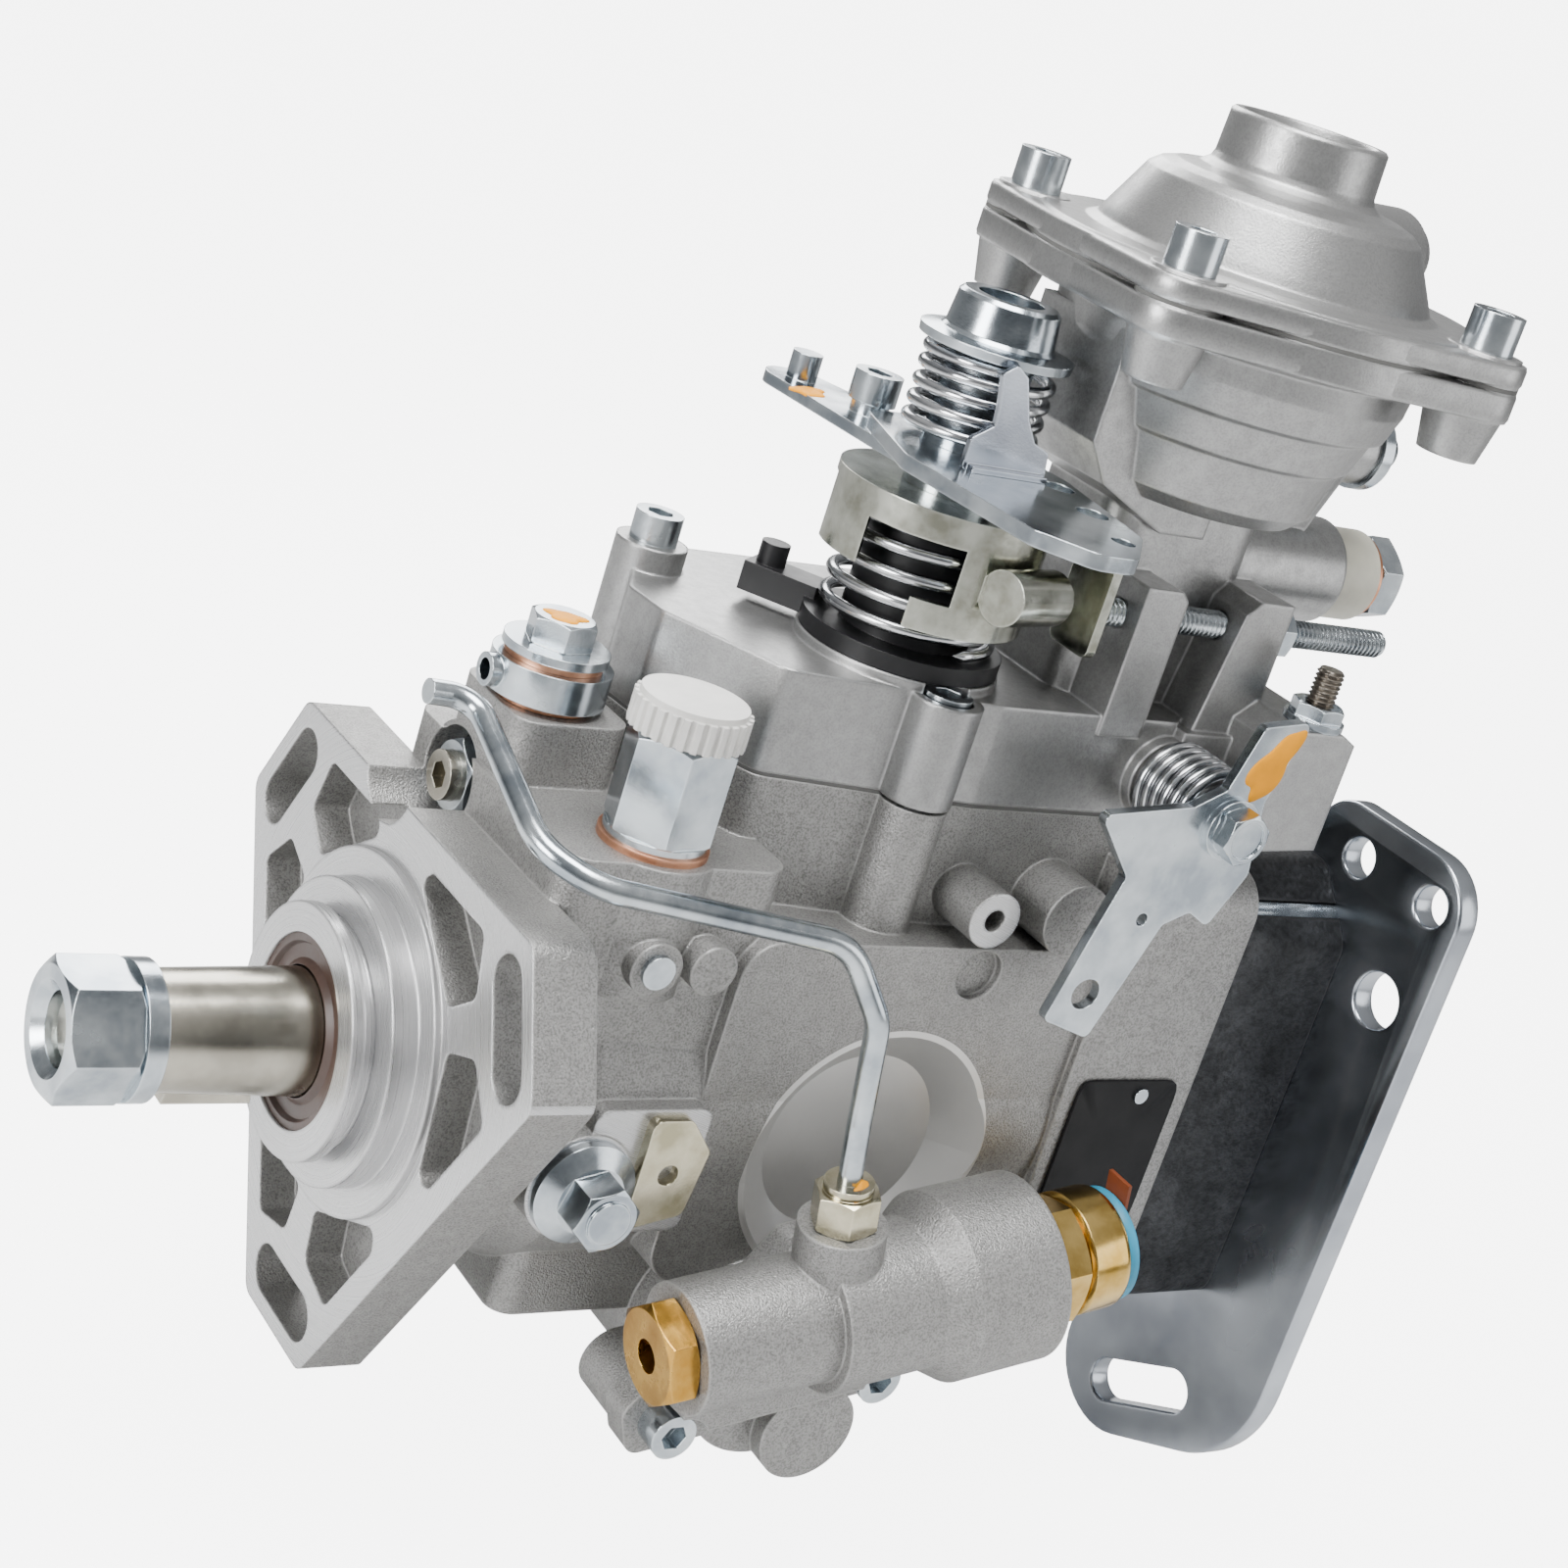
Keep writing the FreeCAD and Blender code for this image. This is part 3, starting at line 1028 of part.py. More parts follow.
def knurled_outline(radius, depth, count):
    """A rim of shallow teeth: each tooth is a pair of corners out and a pair in."""
    corners = []
    for number in range(count):
        for share, reach in ((0.0, radius), (0.45, radius), (0.55, radius - depth),
                             (0.9, radius - depth)):
            angle = 2 * math.pi * (number + share) / count
            corners.append(Vector(reach * math.cos(angle), reach * math.sin(angle), 0))
    return corners


def knurled_disc(at, radius, depth, count, thick):
    points = knurled_outline(float(radius), depth, count)
    points.append(points[0])
    made = doc.addObject("Part::Feature", next_name("knurl"))
    made.Shape = Part.Face(Part.makePolygon(points)).extrude(Vector(0, 0, float(thick)))
    return put(made, at, Rotation())


inlet_cap = keep("inlet_cap", carved(
    fused(knurled_disc((inlet_x, inlet_y, cap_base), cap_radius, 0.8, 28, 6),
          rod((inlet_x, inlet_y, cap_base + 6), "z", cap_radius - 1, 1.2)),
    rod((inlet_x, inlet_y, cap_base - 1), "z", 7.4 + seat_gap, 5)))

# Supply banjo: a union ring with a bent neck, held by a hollow hex bolt.
union_base = joint_level + 0.1
eye_thick = size("eye_thick", 7, "eye of the supply banjo")
banjo_union = keep("banjo_union", carved(
    fused(rod((supply_x, supply_y, union_base + washer_copper), "z", 12, eye_thick),
          rod((supply_x - 8, supply_y, union_base + washer_copper + eye_thick / 2), "-x", 3.3, 6)),
    rod((supply_x, supply_y, union_base), "z", 6.4, 20),
    rod((supply_x, supply_y, union_base + washer_copper + eye_thick / 2), "-x", 2.1, 40)))
bolt_seat = union_base + 2 * washer_copper + eye_thick
banjo_washers = [
    pipe_ring((supply_x, supply_y, union_base), "z", 9.8, 6.3, washer_copper),
    pipe_ring((supply_x, supply_y, bolt_seat - washer_copper), "z", 9.8, 6.3, washer_copper)]
supply_bolt = fused(
    rod((supply_x, supply_y, joint_level - 9), "z", 6, bolt_seat - joint_level + 10),
    rod((supply_x, supply_y, bolt_seat), "z", 10.6, 1.8),
    hex_head((supply_x, supply_y, bolt_seat + 1.5), "z", 12, 5.8, 12))

# The screw that locks the shaft for transport, with its keyed plate.
lock_seat = side_face + 5
plate_seat = side_face + 4
lock_plate = keep("lock_plate", plate((0, -plate_seat, 0), "-y", [
    (lock_x + 11.5, -15), (lock_x + 24, -12), (lock_x + 26, 2), (lock_x + 20, 9),
    (lock_x + 11.5, 9)], 2.4, [(lock_x + 18, -3, 2.2)], rounding=2))
shaft_lock_screw = keep("shaft_lock_screw", fused(
    rod((lock_x, -lock_seat + 20, lock_z), "-y", 4, 21),
    rod((lock_x, -lock_seat, lock_z), "-y", 10.6, 2.4),
    taper((lock_x, -lock_seat - 2.4, lock_z), "-y", 10.6, 7, 2.4),
    hex_head((lock_x, -lock_seat - 4, lock_z), "-y", 12, 8, 15),
    rod((lock_x, -lock_seat - 12, lock_z), "-y", 4.4, 0.6)))

# Cold-start unit: it closes the timer, and its cylinder leans upwards towards the rear.
cylinder_out = size("cylinder_out", 15.5, "cold-start unit's joint to its cylinder's axis")
cylinder_up = size("cylinder_up", 24.5, "cold-start unit's screws up to its cylinder's axis")
axis_end = [(forward, cylinder_out, cylinder_up) for forward in (-28, 0, 28, 51)]
unit_plate_turn = unit_turn * FACING["-y"]
unit_flange = plate(in_unit(0, 0, 0), unit_plate_turn, [
    (-31, -7), (31, -7), (33, 4), (24, 22), (18, 36), (2, 36), (-14, 20), (-33, 4)], 7,
    rounding=4)
unit_body = fused(
    unit_flange,
    rod(in_unit(7, 0, -7), "-y", 11, 14),
    rod(in_unit(0, 0, 8), "-y", 20, 10),
    rod(in_unit(*axis_end[0]), unit_along, 13, 58),
    rod(in_unit(2, cylinder_out, cylinder_up), unit_along, 15.5, 48),
    taper(in_unit(24, cylinder_out, cylinder_up), unit_along, 15.5, 19.5, 6),
    rod(in_unit(30, cylinder_out, cylinder_up), unit_along, 19.5, 21),
    rod(in_unit(6, cylinder_out, cylinder_up), unit_up, 9, 21),
    block((-24, -cylinder_out, 2), (28, 0, cylinder_up), in_unit(0, 0, 0), unit_turn))
cold_start_housing = keep("cold_start_housing", carved(
    unit_body,
    rod(in_unit(-30, cylinder_out, cylinder_up), unit_along, 8, 84),
    rod(in_unit(6, cylinder_out, cylinder_up), unit_up, 3.2, 24),
    rod(in_unit(0, -2, unit_drop), "-y", timer_radius + 1, 6),
    *[rod(in_unit(forward, -2, 0), "-y", 3.3, 30)
      for forward in (-unit_screw_reach, unit_screw_reach)],
    *[rod(in_unit(forward, 7, 0), "-y", 6.2, 30)
      for forward in (-unit_screw_reach, unit_screw_reach)]))
brass_plug = keep("brass_plug", carved(
    fused(hex_head(in_unit(-28, cylinder_out, cylinder_up), -unit_along, 19, 6.5, 10),
          rod(in_unit(-28.2, cylinder_out, cylinder_up), unit_along, 8 - seat_gap, 14)),
    rod(in_unit(-40, cylinder_out, cylinder_up), unit_along, 3.4, 22)))
solenoid_start = 51
cold_start_solenoid = keep("cold_start_solenoid", fused(
    rod(in_unit(solenoid_start - 12, cylinder_out, cylinder_up), unit_along, 8 - seat_gap, 13),
    rod(in_unit(solenoid_start, cylinder_out, cylinder_up), unit_along, 14, 2),
    hex_head(in_unit(solenoid_start + 1.5, cylinder_out, cylinder_up), unit_along, 24, 9, 12),
    rod(in_unit(solenoid_start + 10, cylinder_out, cylinder_up), unit_along, 11.4, 11)))
solenoid_gasket = keep("solenoid_gasket", pipe_ring(
    in_unit(solenoid_start + 21, cylinder_out, cylinder_up), unit_along, 10, 3, 2.2))
terminal_start = solenoid_start + 23.2
solenoid_terminal = keep("solenoid_terminal", fused(
    rod(in_unit(terminal_start - 2.2, cylinder_out, cylinder_up), unit_along, 2.4, 7),
    block((0, -3.4, 3), (0.9, 3.4, 16), in_unit(terminal_start, cylinder_out, cylinder_up),
          unit_turn),
    block((0, -4.6, -4.6), (0.9, 4.6, 4.6), in_unit(terminal_start, cylinder_out, cylinder_up),
          unit_turn)))
terminal_nut = carved(
    hexagon(in_unit(terminal_start + 1, cylinder_out, cylinder_up), unit_along, 8, 3.4, 10),
    rod(in_unit(terminal_start, cylinder_out, cylinder_up), unit_along, 2.4 + seat_gap, 9))
timer_cover = keep("timer_cover", carved(
    plate((0, timer_half + 4, 0), "-y", [
        (timer_station - 29, -timer_drop - 16), (timer_station + 29, -timer_drop - 16),
        (timer_station + 29, -timer_drop + 16), (timer_station - 29, -timer_drop + 16)], 4,
        rounding=14),
    *[rod((timer_station + side * timer_screw_reach, timer_half - 1, -timer_drop), "y", 3.3, 8)
      for side in (-1, 1)]))
timer_screws = [
    *[socket_screw(in_unit(forward, 7, 0), "-y", 3, 18, 5, 6, 5)
      for forward in (-unit_screw_reach, unit_screw_reach)],
    *[socket_screw((timer_station + side * timer_screw_reach, timer_half + 4, -timer_drop), "y",
                   3, 15, 5, 6, 5) for side in (-1, 1)]]

# Steel pipe from the cold-start unit, over the housing's shoulder, with its hex fitting.
pipe_radius = size("pipe_radius", 2.4, "steel pipe outside")
fitting_base = in_unit(6, cylinder_out, cylinder_up + 21)
fitting_nut = keep("pipe_fitting", carved(
    fused(hex_head(fitting_base, unit_up, 12, 8, 8),
          rod(in_unit(6, cylinder_out, cylinder_up + 15), unit_up, 3.2 - seat_gap, 8),
          rod(in_unit(6, cylinder_out, cylinder_up + 28.8), unit_up, 5, 2)),
    rod(in_unit(6, cylinder_out, cylinder_up + 24), unit_up, pipe_radius + seat_gap, 20)))


def bent_pipe(route, bends, radius):
    """A pipe of straight runs joined by tangent bends of the given radii."""
    points = [Vector(*[float(c) for c in point]) for point in route]
    edges = []
    start = points[0]
    for number, bend in enumerate(bends, start=1):
        here = points[number]
        back = (points[number - 1] - here).normalize()
        ahead = (points[number + 1] - here).normalize()
        half = math.acos(max(-1.0, min(1.0, back.dot(ahead)))) / 2
        reach = bend / math.tan(half)
        middle = (back + ahead).normalize() * (bend / math.sin(half) - bend)
        first, last = here + back * reach, here + ahead * reach
        edges.append(Part.LineSegment(start, first).toShape())
        edges.append(Part.Arc(first, here + middle, last).toShape())
        start = last
    edges.append(Part.LineSegment(start, points[-1]).toShape())
    path = Part.Wire(edges)
    section = Part.Wire(Part.Circle(points[0], points[1] - points[0], float(radius)).toShape())
    made = doc.addObject("Part::Feature", next_name("pipe"))
    made.Shape = path.makePipeShell([section], True, False)
    return made


fitting_top = in_unit(6, cylinder_out, cylinder_up + 25)
fitting_rise = in_unit(6, cylinder_out, cylinder_up + 44)
pipe_route = [fitting_top, fitting_rise, (69, -66, 40), (60, -62, 54), (9, -53, 59),
              (1, -44, 62), (1.6, -8, 74.5), (-8.3, -8, 75.1)]
steel_pipe = keep("steel_pipe", bent_pipe(
    pipe_route, (3 * pipe_radius, 12, 12, 14, 14, 6), pipe_radius))

# Boost unit: cover with its cap and side port, diaphragm, control pin and plate.
boost_lift = size("boost_lift", 0.8, "thickness of the diaphragm's clamped rim")
boost_cover_base = boost_level + boost_lift
dome_foot = bowl_radius - 2.6
dome_shoulder = size("dome_shoulder", 28, "shoulder of the boost cover's dome")
cap_round = size("cap_round", 16, "cap on the boost cover's dome")
dome = turned((boost_x, boost_y, 0), "z", [
    (boost_cover_base, 0), (boost_cover_base, boost_flange - 1),
    (boost_cover_base + 4.2, boost_flange - 1), (boost_cover_base + 5, boost_flange - 2),
    (boost_cover_base + 5, dome_foot + 2), (boost_cover_base + 6, dome_foot),
    (boost_cover_base + 8, dome_foot - 1), (boost_cover_base + 18, dome_shoulder),
    (boost_cover_base + 19.6, dome_shoulder - 2), (boost_cover_base + 20.6, dome_shoulder - 5),
    (boost_cover_base + 21.4, cap_round + 2.4), (boost_cover_base + 22.6, cap_round + 0.8),
    (boost_cover_base + 24, cap_round + 0.3), (boost_cover_base + 32.4, cap_round),
    (boost_cover_base + 33, cap_round - 0.6), (boost_cover_base + 33, cap_round - 2.4),
    (boost_cover_base + 31, cap_round - 3.2), (boost_cover_base + 31, 0)])
port_z = boost_cover_base + 10.2
port_turn = Rotation(Z, 16).multVec(X)
boost_port = fused(rod((boost_x, boost_y + 8, port_z), port_turn, 10, 58),
                   rod((boost_x, boost_y + 8, port_z), port_turn, 8.4, 62))
boost_screw_holes = []
boost_screws = []
boost_pads = []
for angle in boost_angles:
    x, y = around_boost(boost_screw, angle)
    boost_screw_holes.append(rod((x, y, boost_cover_base - 1), "z", 2.8, 12))
    boost_screw_holes.append(rod((x, y, boost_cover_base + 5.2), "z", 5.8, 14))
    boost_screws.append(socket_screw((x, y, boost_cover_base + 5.2), "z", 2.5, 18, 5.2, 7.6, 5))
    boost_pads.append(rod((x, y, boost_cover_base), "z", 7.4, 5.2))
boost_cover = keep("boost_cover", carved(
    fused(dome, boost_outline(boost_cover_base, 4.4), boost_port, *boost_pads),
    rod((boost_x, boost_y, boost_cover_base - 1), "z", dome_foot - 4, 7),
    taper((boost_x, boost_y, boost_cover_base + 5.9), "z", dome_foot - 4, dome_shoulder - 4.4, 11),
    rod((boost_x + 20, boost_y + 13, port_z), port_turn, 5, 60), *boost_screw_holes))
boost_diaphragm = keep("boost_diaphragm", carved(
    boost_outline(boost_level, boost_lift),
    rod((boost_x, boost_y, boost_level - 1), "z", bowl_radius - 12, 4),
    *[rod((*around_boost(boost_screw, angle), boost_level - 1), "z", 2.9, 4)
      for angle in boost_angles]))
boost_plate = boost_level - 3
boost_pin = keep("boost_pin", fused(
    rod((boost_x, boost_y, boost_plate), "z", bowl_radius - 13, 3.4),
    rod((boost_x, boost_y, boost_plate - 16), "z", 8, 17),
    rod((boost_x, boost_y, cover_top + 2), "z", 5, boost_plate - cover_top - 1)))
breather_plug = fused(
    rod((breather_end - 10, boost_y + 4, 150), "x", 5, 11),
    rod((breather_end, boost_y + 4, 150), "x", 9, 3),
    taper((breather_end + 3, boost_y + 4, 150), "x", 7, 4, 6))
closing_plugs = keep("closing_plugs", grouped(centre_plug, stop_port_plug, side_ball,
                                              breather_plug))
sleeve_thick = size("sleeve_thick", 12, "plastic union at the return port")
return_sleeve = keep("return_sleeve", carved(
    fused(rod((return_end, return_y, return_z), "x", 10, sleeve_thick),
          rod((return_end + sleeve_thick / 2, return_y, return_z), "y", 4.5, 18)),
    rod((return_end - 1, return_y, return_z), "x", 5.4, 30)))
return_seat = return_end + sleeve_thick + washer_copper
return_washer = pipe_ring((return_end + sleeve_thick, return_y, return_z), "x", 9.4, 5.4,
                          washer_copper)
return_bolt = fused(rod((return_end - 14, return_y, return_z), "x", 5, return_seat - return_end
                        + 15),
                    hex_head((return_seat, return_y, return_z), "x", 17, 7, 5))
copper_washers = keep("copper_washers", grouped(inlet_washer, *banjo_washers, return_washer))
union_bolts = keep("union_bolts", grouped(supply_bolt, return_bolt))

# Throttle lever stack on its upright shaft.
cup_top = size("cup_top", 122, "shaft axis to the top of the spring's plastic core")
cup_base = cover_top + 2.1
coil_radius = size("coil_radius", 17.2, "throttle return spring, to the wire's middle")
coil_wire = size("coil_wire", 1.25, "throttle return spring's wire radius")
bracket_level = size("bracket_level", 125, "shaft axis to the pressed lever bracket")
arm_level = size("arm_level", 133, "shaft axis to the throttle lever")
throttle_top = size("throttle_top", 158, "shaft axis to the top of the throttle shaft")
cup_lug_turn = Rotation(Z, 128)
cup_stub = Vector(float(lever_x), float(lever_y), 0) + cup_lug_turn.multVec(Vector(30, 0, 0))
spring_cup = keep("spring_cup", carved(
    fused(rod((lever_x, lever_y, cup_base), "z", 20.6, 3.6),
          rod((lever_x, lever_y, cup_base), "z", 13.4, cup_top - cup_base),
          block((18, -4.5, 0), (34, 4.5, 6), (lever_x, lever_y, cup_base), cup_lug_turn),
          rod((cup_stub.x, cup_stub.y, cup_base), "z", 3, 10.5)),
    rod((lever_x, lever_y, cup_base - 1), "z", 10 + free_gap, 40)))
return_spring = keep("return_spring", spring(
    (lever_x, lever_y, cup_base + 3.6 + coil_wire + 0.3), "z", coil_radius, coil_wire, 4,
    bracket_level - cup_base - 3.6 - 3 * coil_wire - 0.6))
throttle_shaft = keep("throttle_shaft", fused(
    rod((lever_x, lever_y, cover_base + 4), "z", throttle_radius, throttle_top - cover_base - 4),
    rod((lever_x, lever_y, tower_top + 0.6), "z", 9.4, bracket_level - tower_top - 0.6),
    rod((lever_x + 3, lever_y, cover_base), "z", 2.4, 6)))


def lever_arm(level, thick, reach_x, reach_y, hub, tip):
    """A flat arm from the throttle shaft to its tip, round at both ends."""
    start = Vector(float(lever_x), float(lever_y), 0)
    end = Vector(float(lever_x) + reach_x, float(lever_y) + reach_y, 0)
    along = (end - start).normalize()
    across = Vector(-along.y, along.x, 0)
    corners = []
    for middle, radius, side in ((start, hub, -1), (end, tip, -1), (end, tip, 1),
                                 (start, hub, 1)):
        place = middle + across * (side * radius)
        corners.append((place.x, place.y))
    return fused(plate((0, 0, level), "z", corners, thick),
                 rod((lever_x, lever_y, level), "z", hub, thick),
                 rod((lever_x + reach_x, lever_y + reach_y, level), "z", tip, thick))


bracket_sheet = size("bracket_sheet", 2.2, "sheet of the lever bracket")
wing_x = lever_x + 25.6
skirt_foot = bracket_level - 21
half_turn = Rotation(Z, -25)
skirt = carved(pipe_ring((lever_x, lever_y, skirt_foot), "z", 22, 20, bracket_level - skirt_foot),
               block((-30, 0, -2), (30, 30, 30), (lever_x, lever_y, skirt_foot), half_turn),
               block((10, -10, 6), (30, 10, bracket_level - skirt_foot - 3.6),
                     (lever_x, lever_y, skirt_foot), Rotation(Z, 223)),
               block((10, -14, -2), (30, 14, 8), (lever_x, lever_y, skirt_foot),
                     Rotation(Z, 190)))
saddle = rod((lever_x - 1.1, lever_y - 26.6, bracket_level - 10), Rotation(Z, 15).multVec(X),
             5.5, 16)
lever_bracket = keep("lever_bracket", carved(
    fused(rod((lever_x, lever_y, bracket_level), "z", 22, bracket_sheet), skirt, saddle,
          plate((0, 0, bracket_level), "z", [
              (lever_x + 6, lever_y - 18), (lever_x + 12, lever_y - 25),
              (wing_x + bracket_sheet, lever_y - 25), (wing_x + bracket_sheet, lever_y - 12.5),
              (lever_x + 20, lever_y + 2)], bracket_sheet),
          plate((wing_x, 0, 0), "x", [(lever_y - 25, stop_screw_z - 8),
                                      (lever_y - 12.5, stop_screw_z - 8),
                                      (lever_y - 12.5, bracket_level + bracket_sheet),
                                      (lever_y - 25, bracket_level + bracket_sheet)],
                bracket_sheet, rounding=2)),
    rod((lever_x, lever_y, 100), "z", throttle_radius + seat_gap, 60)))
spacer_thick = arm_level - bracket_level - bracket_sheet
lever_plan = [(lever_x - 22, lever_y - 12), (lever_x - 19, lever_y - 50), (lever_x - 11, lever_y - 60),
              (lever_x - 2, lever_y - 60), (lever_x + 10, lever_y - 46),
              (lever_x + 16, lever_y - 14), (lever_x + 14, lever_y + 10),
              (lever_x + 2, lever_y + 20), (lever_x - 12, lever_y + 17)]
lever_sheet = size("lever_sheet", 3, "sheet of the throttle lever")
rear_arm_level = arm_level - 2.4
throttle_lever = keep("throttle_lever", carved(
    fused(rod((lever_x, lever_y, bracket_level + bracket_sheet), "z", 9.5, spacer_thick),
          plate((0, 0, arm_level), "z", lever_plan, lever_sheet, rounding=5),
          lever_arm(rear_arm_level, 2.4, -9, 46, 14, 7.5),
          rod((lever_x - 9, lever_y + 46, rear_arm_level), "z", 3.2, 8),
          rod((lever_x - 5, lever_y + 26, rear_arm_level), "z", 4, 5),
          socket_screw((lever_x - 5, lever_y + 26, rear_arm_level + 5), "z", 2, 2, 5, 6, 5)),
    rod((lever_x, lever_y, 100), "z", throttle_radius + seat_gap, 60),
    rod((lever_x + 10, lever_y - 19, 100), "z", 3.3, 60),
    rod((lever_x + 7, lever_y - 34, 100), "z", 3.3, 60),
    rod((lever_x + 2, lever_y - 50, 100), "z", 2.4, 60)))
upper_base = arm_level + lever_sheet
seat_level = size("seat_level", 155.6, "shaft axis to the flange of the spring's seat nut")
upper_spring = keep("upper_spring", spring(
    (lever_x, lever_y, upper_base + 1.5), "z", 12.4, 1.2, 5, seat_level - upper_base - 3))
seat_nut = keep("spring_seat_nut", carved(
    turned((lever_x, lever_y, 0), "z", [
        (upper_base, 0), (upper_base, 8.6), (seat_level, 8.6), (seat_level, 15.2),
        (seat_level + 1.8, 15.4), (seat_level + 2.4, 11.6), (seat_level + 3.2, 10.9),
        (seat_level + 9.6, 10.2), (seat_level + 10.4, 9.4), (seat_level + 10.4, 0)]),
    rod((lever_x, lever_y, seat_level + 6.4), "z", 6.6, 8),
    rod((lever_x, lever_y, upper_base - 1), "z", throttle_radius + seat_gap,
        throttle_top - upper_base + 1.2),
    hexagon((lever_x, lever_y, throttle_top + 1), "z", 9, 20)))
clip_x = lever_x - 12
lever_clip = keep("lever_clip", fused(
    plate((0, lever_y - 15.4, 0), "-y", [
        (clip_x, upper_base), (clip_x + 20, upper_base), (clip_x + 19, upper_base + 5.5),
        (clip_x + 15, upper_base + 7), (clip_x + 12, upper_base + 11),
        (clip_x + 8.5, upper_base + 19), (clip_x + 5.5, upper_base + 21),
        (clip_x + 2.5, upper_base + 19), (clip_x + 4, upper_base + 13),
        (clip_x + 4.5, upper_base + 9), (clip_x, upper_base + 6)], 1.2, rounding=0.8),
    block((clip_x + 1, lever_y - 18.6, upper_base), (clip_x + 19, lever_y - 15.6,
                                                     upper_base + 1.2))))

# Stop lever on its cross shaft, with its spring, and the set screws of both levers.
stop_end = size("stop_end", 63, "shaft axis to the end of the stop lever's shaft")
stop_plate = size("stop_plate", 55, "shaft axis to the stop lever")
stop_sheet = size("stop_sheet", 2.4, "sheet of the stop lever")
stop_shaft = keep("stop_shaft", grouped(
    fused(rod((stop_x, -20, stop_z), "-y", 4, stop_end - 20),
          rod((stop_x - 2, -20.5, stop_z - 1), "y", 1.6, 3)),
    carved(fused(hex_head((stop_x, -stop_plate - stop_sheet - 1.4, stop_z), "-y", 10, 4.6, 20),
                 rod((stop_x, -stop_plate - stop_sheet, stop_z), "-y", 6.6, 1.4)),
           rod((stop_x, -stop_plate, stop_z), "-y", 4 + seat_gap, 12))))
stop_spring = keep("stop_spring", spring(
    (stop_x, -38, stop_z), "-y", 9.2, 1.1, 5, stop_plate - 38 - 1.6))
stop_lever = keep("stop_lever", carved(
    plate((0, -stop_plate, 0), "-y", [
        (stop_x - 34, stop_z + 1), (stop_x - 11, stop_z + 4), (stop_x - 4, stop_z + 8),
        (stop_x, stop_z + 22), (stop_x + 12, stop_z + 24), (stop_x + 7, stop_z + 6),
        (stop_x + 10, stop_z - 10), (stop_x + 4, stop_z - 22), (stop_x - 2, stop_z - 19),
        (stop_x - 8, stop_z - 22), (stop_x - 17, stop_z - 48), (stop_x - 30, stop_z - 44),
        (stop_x - 22, stop_z - 12)], stop_sheet,
        [(stop_x - 21.5, stop_z - 38, 3.4), (stop_x - 14, stop_z - 21, 1.4),
         (stop_x + 5.5, stop_z + 17, 1.2)], rounding=1.5),
    rod((stop_x, -stop_plate + 1, stop_z), "-y", 4 + seat_gap, 8)))
screw_tip = wing_x + bracket_sheet + free_gap
stop_screw_length = size("stop_screw_length", 84, "long stop screw")
long_screw = fused(rod((screw_tip, stop_screw_y, stop_screw_z), "x", 3, stop_screw_length),
                   taper((screw_tip - 0.2, stop_screw_y, stop_screw_z), "x", 2, 2.8, 0.5))
clamp_screw = rod((clamp_x, clamp_y, 82), "z", 3, 29)
set_screws = keep("set_screws", grouped(long_screw, clamp_screw))
screw_nut_x = stop_x + 20
lock_nuts = keep("lock_nuts", grouped(
    carved(hex_head((screw_nut_x, stop_screw_y, stop_screw_z), "x", 10, 5.4, 10),
           rod((screw_nut_x - 1, stop_screw_y, stop_screw_z), "x", 3 + seat_gap, 9)),
    carved(fused(hex_head((clamp_x, clamp_y, 99), "z", 10, 4.6),
                 rod((clamp_x, clamp_y, 99), "z", 6.4, 1.6)),
           rod((clamp_x, clamp_y, 98), "z", 3 + seat_gap, 9)),
    terminal_nut))
socket_screws = keep("socket_screws", grouped(*head_screws, *cover_screws, *timer_screws,
                                              *boost_screws))


def finish():
    """Check every object, then write each node's file."""
    doc.recompute()
    faults = [thing.Name for thing in doc.Objects
              if "Invalid" in thing.State or "Error" in thing.State]
    for node in NODES:
        if node.Shape.isNull() or not node.Shape.isValid() or not node.Shape.Solids:
            faults.append(node.Label)
    if faults:
        raise RuntimeError("these did not build: " + ", ".join(faults))
    os.makedirs("parts", exist_ok=True)
    for node in NODES:
        node.Shape.exportStep(f"parts/{node.Label}.step")
        print(node.Label, len(node.Shape.Solids), "solids", round(node.Shape.Volume, 1), "mm3")


finish()
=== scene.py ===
# %% [markdown]
# A diesel injection pump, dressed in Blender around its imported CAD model.
#
# The CAD model gives every piece of the pump as a node that sits at the origin with its place in
# its vertices. This file keeps those solids, gives each one a finish, and adds what a solid
# modeller leaves out: wound springs, screw threads, thin flange edges, the bracket's round corners,
# the bare data plate and dabs of sealing paint.
# All lengths are metres. The drive shaft lies along X, Z is up, and the camera sees the -Y side.

# %% Load the frame
import math

import bmesh
import bpy
import numpy as np
from mathutils import Matrix, Vector


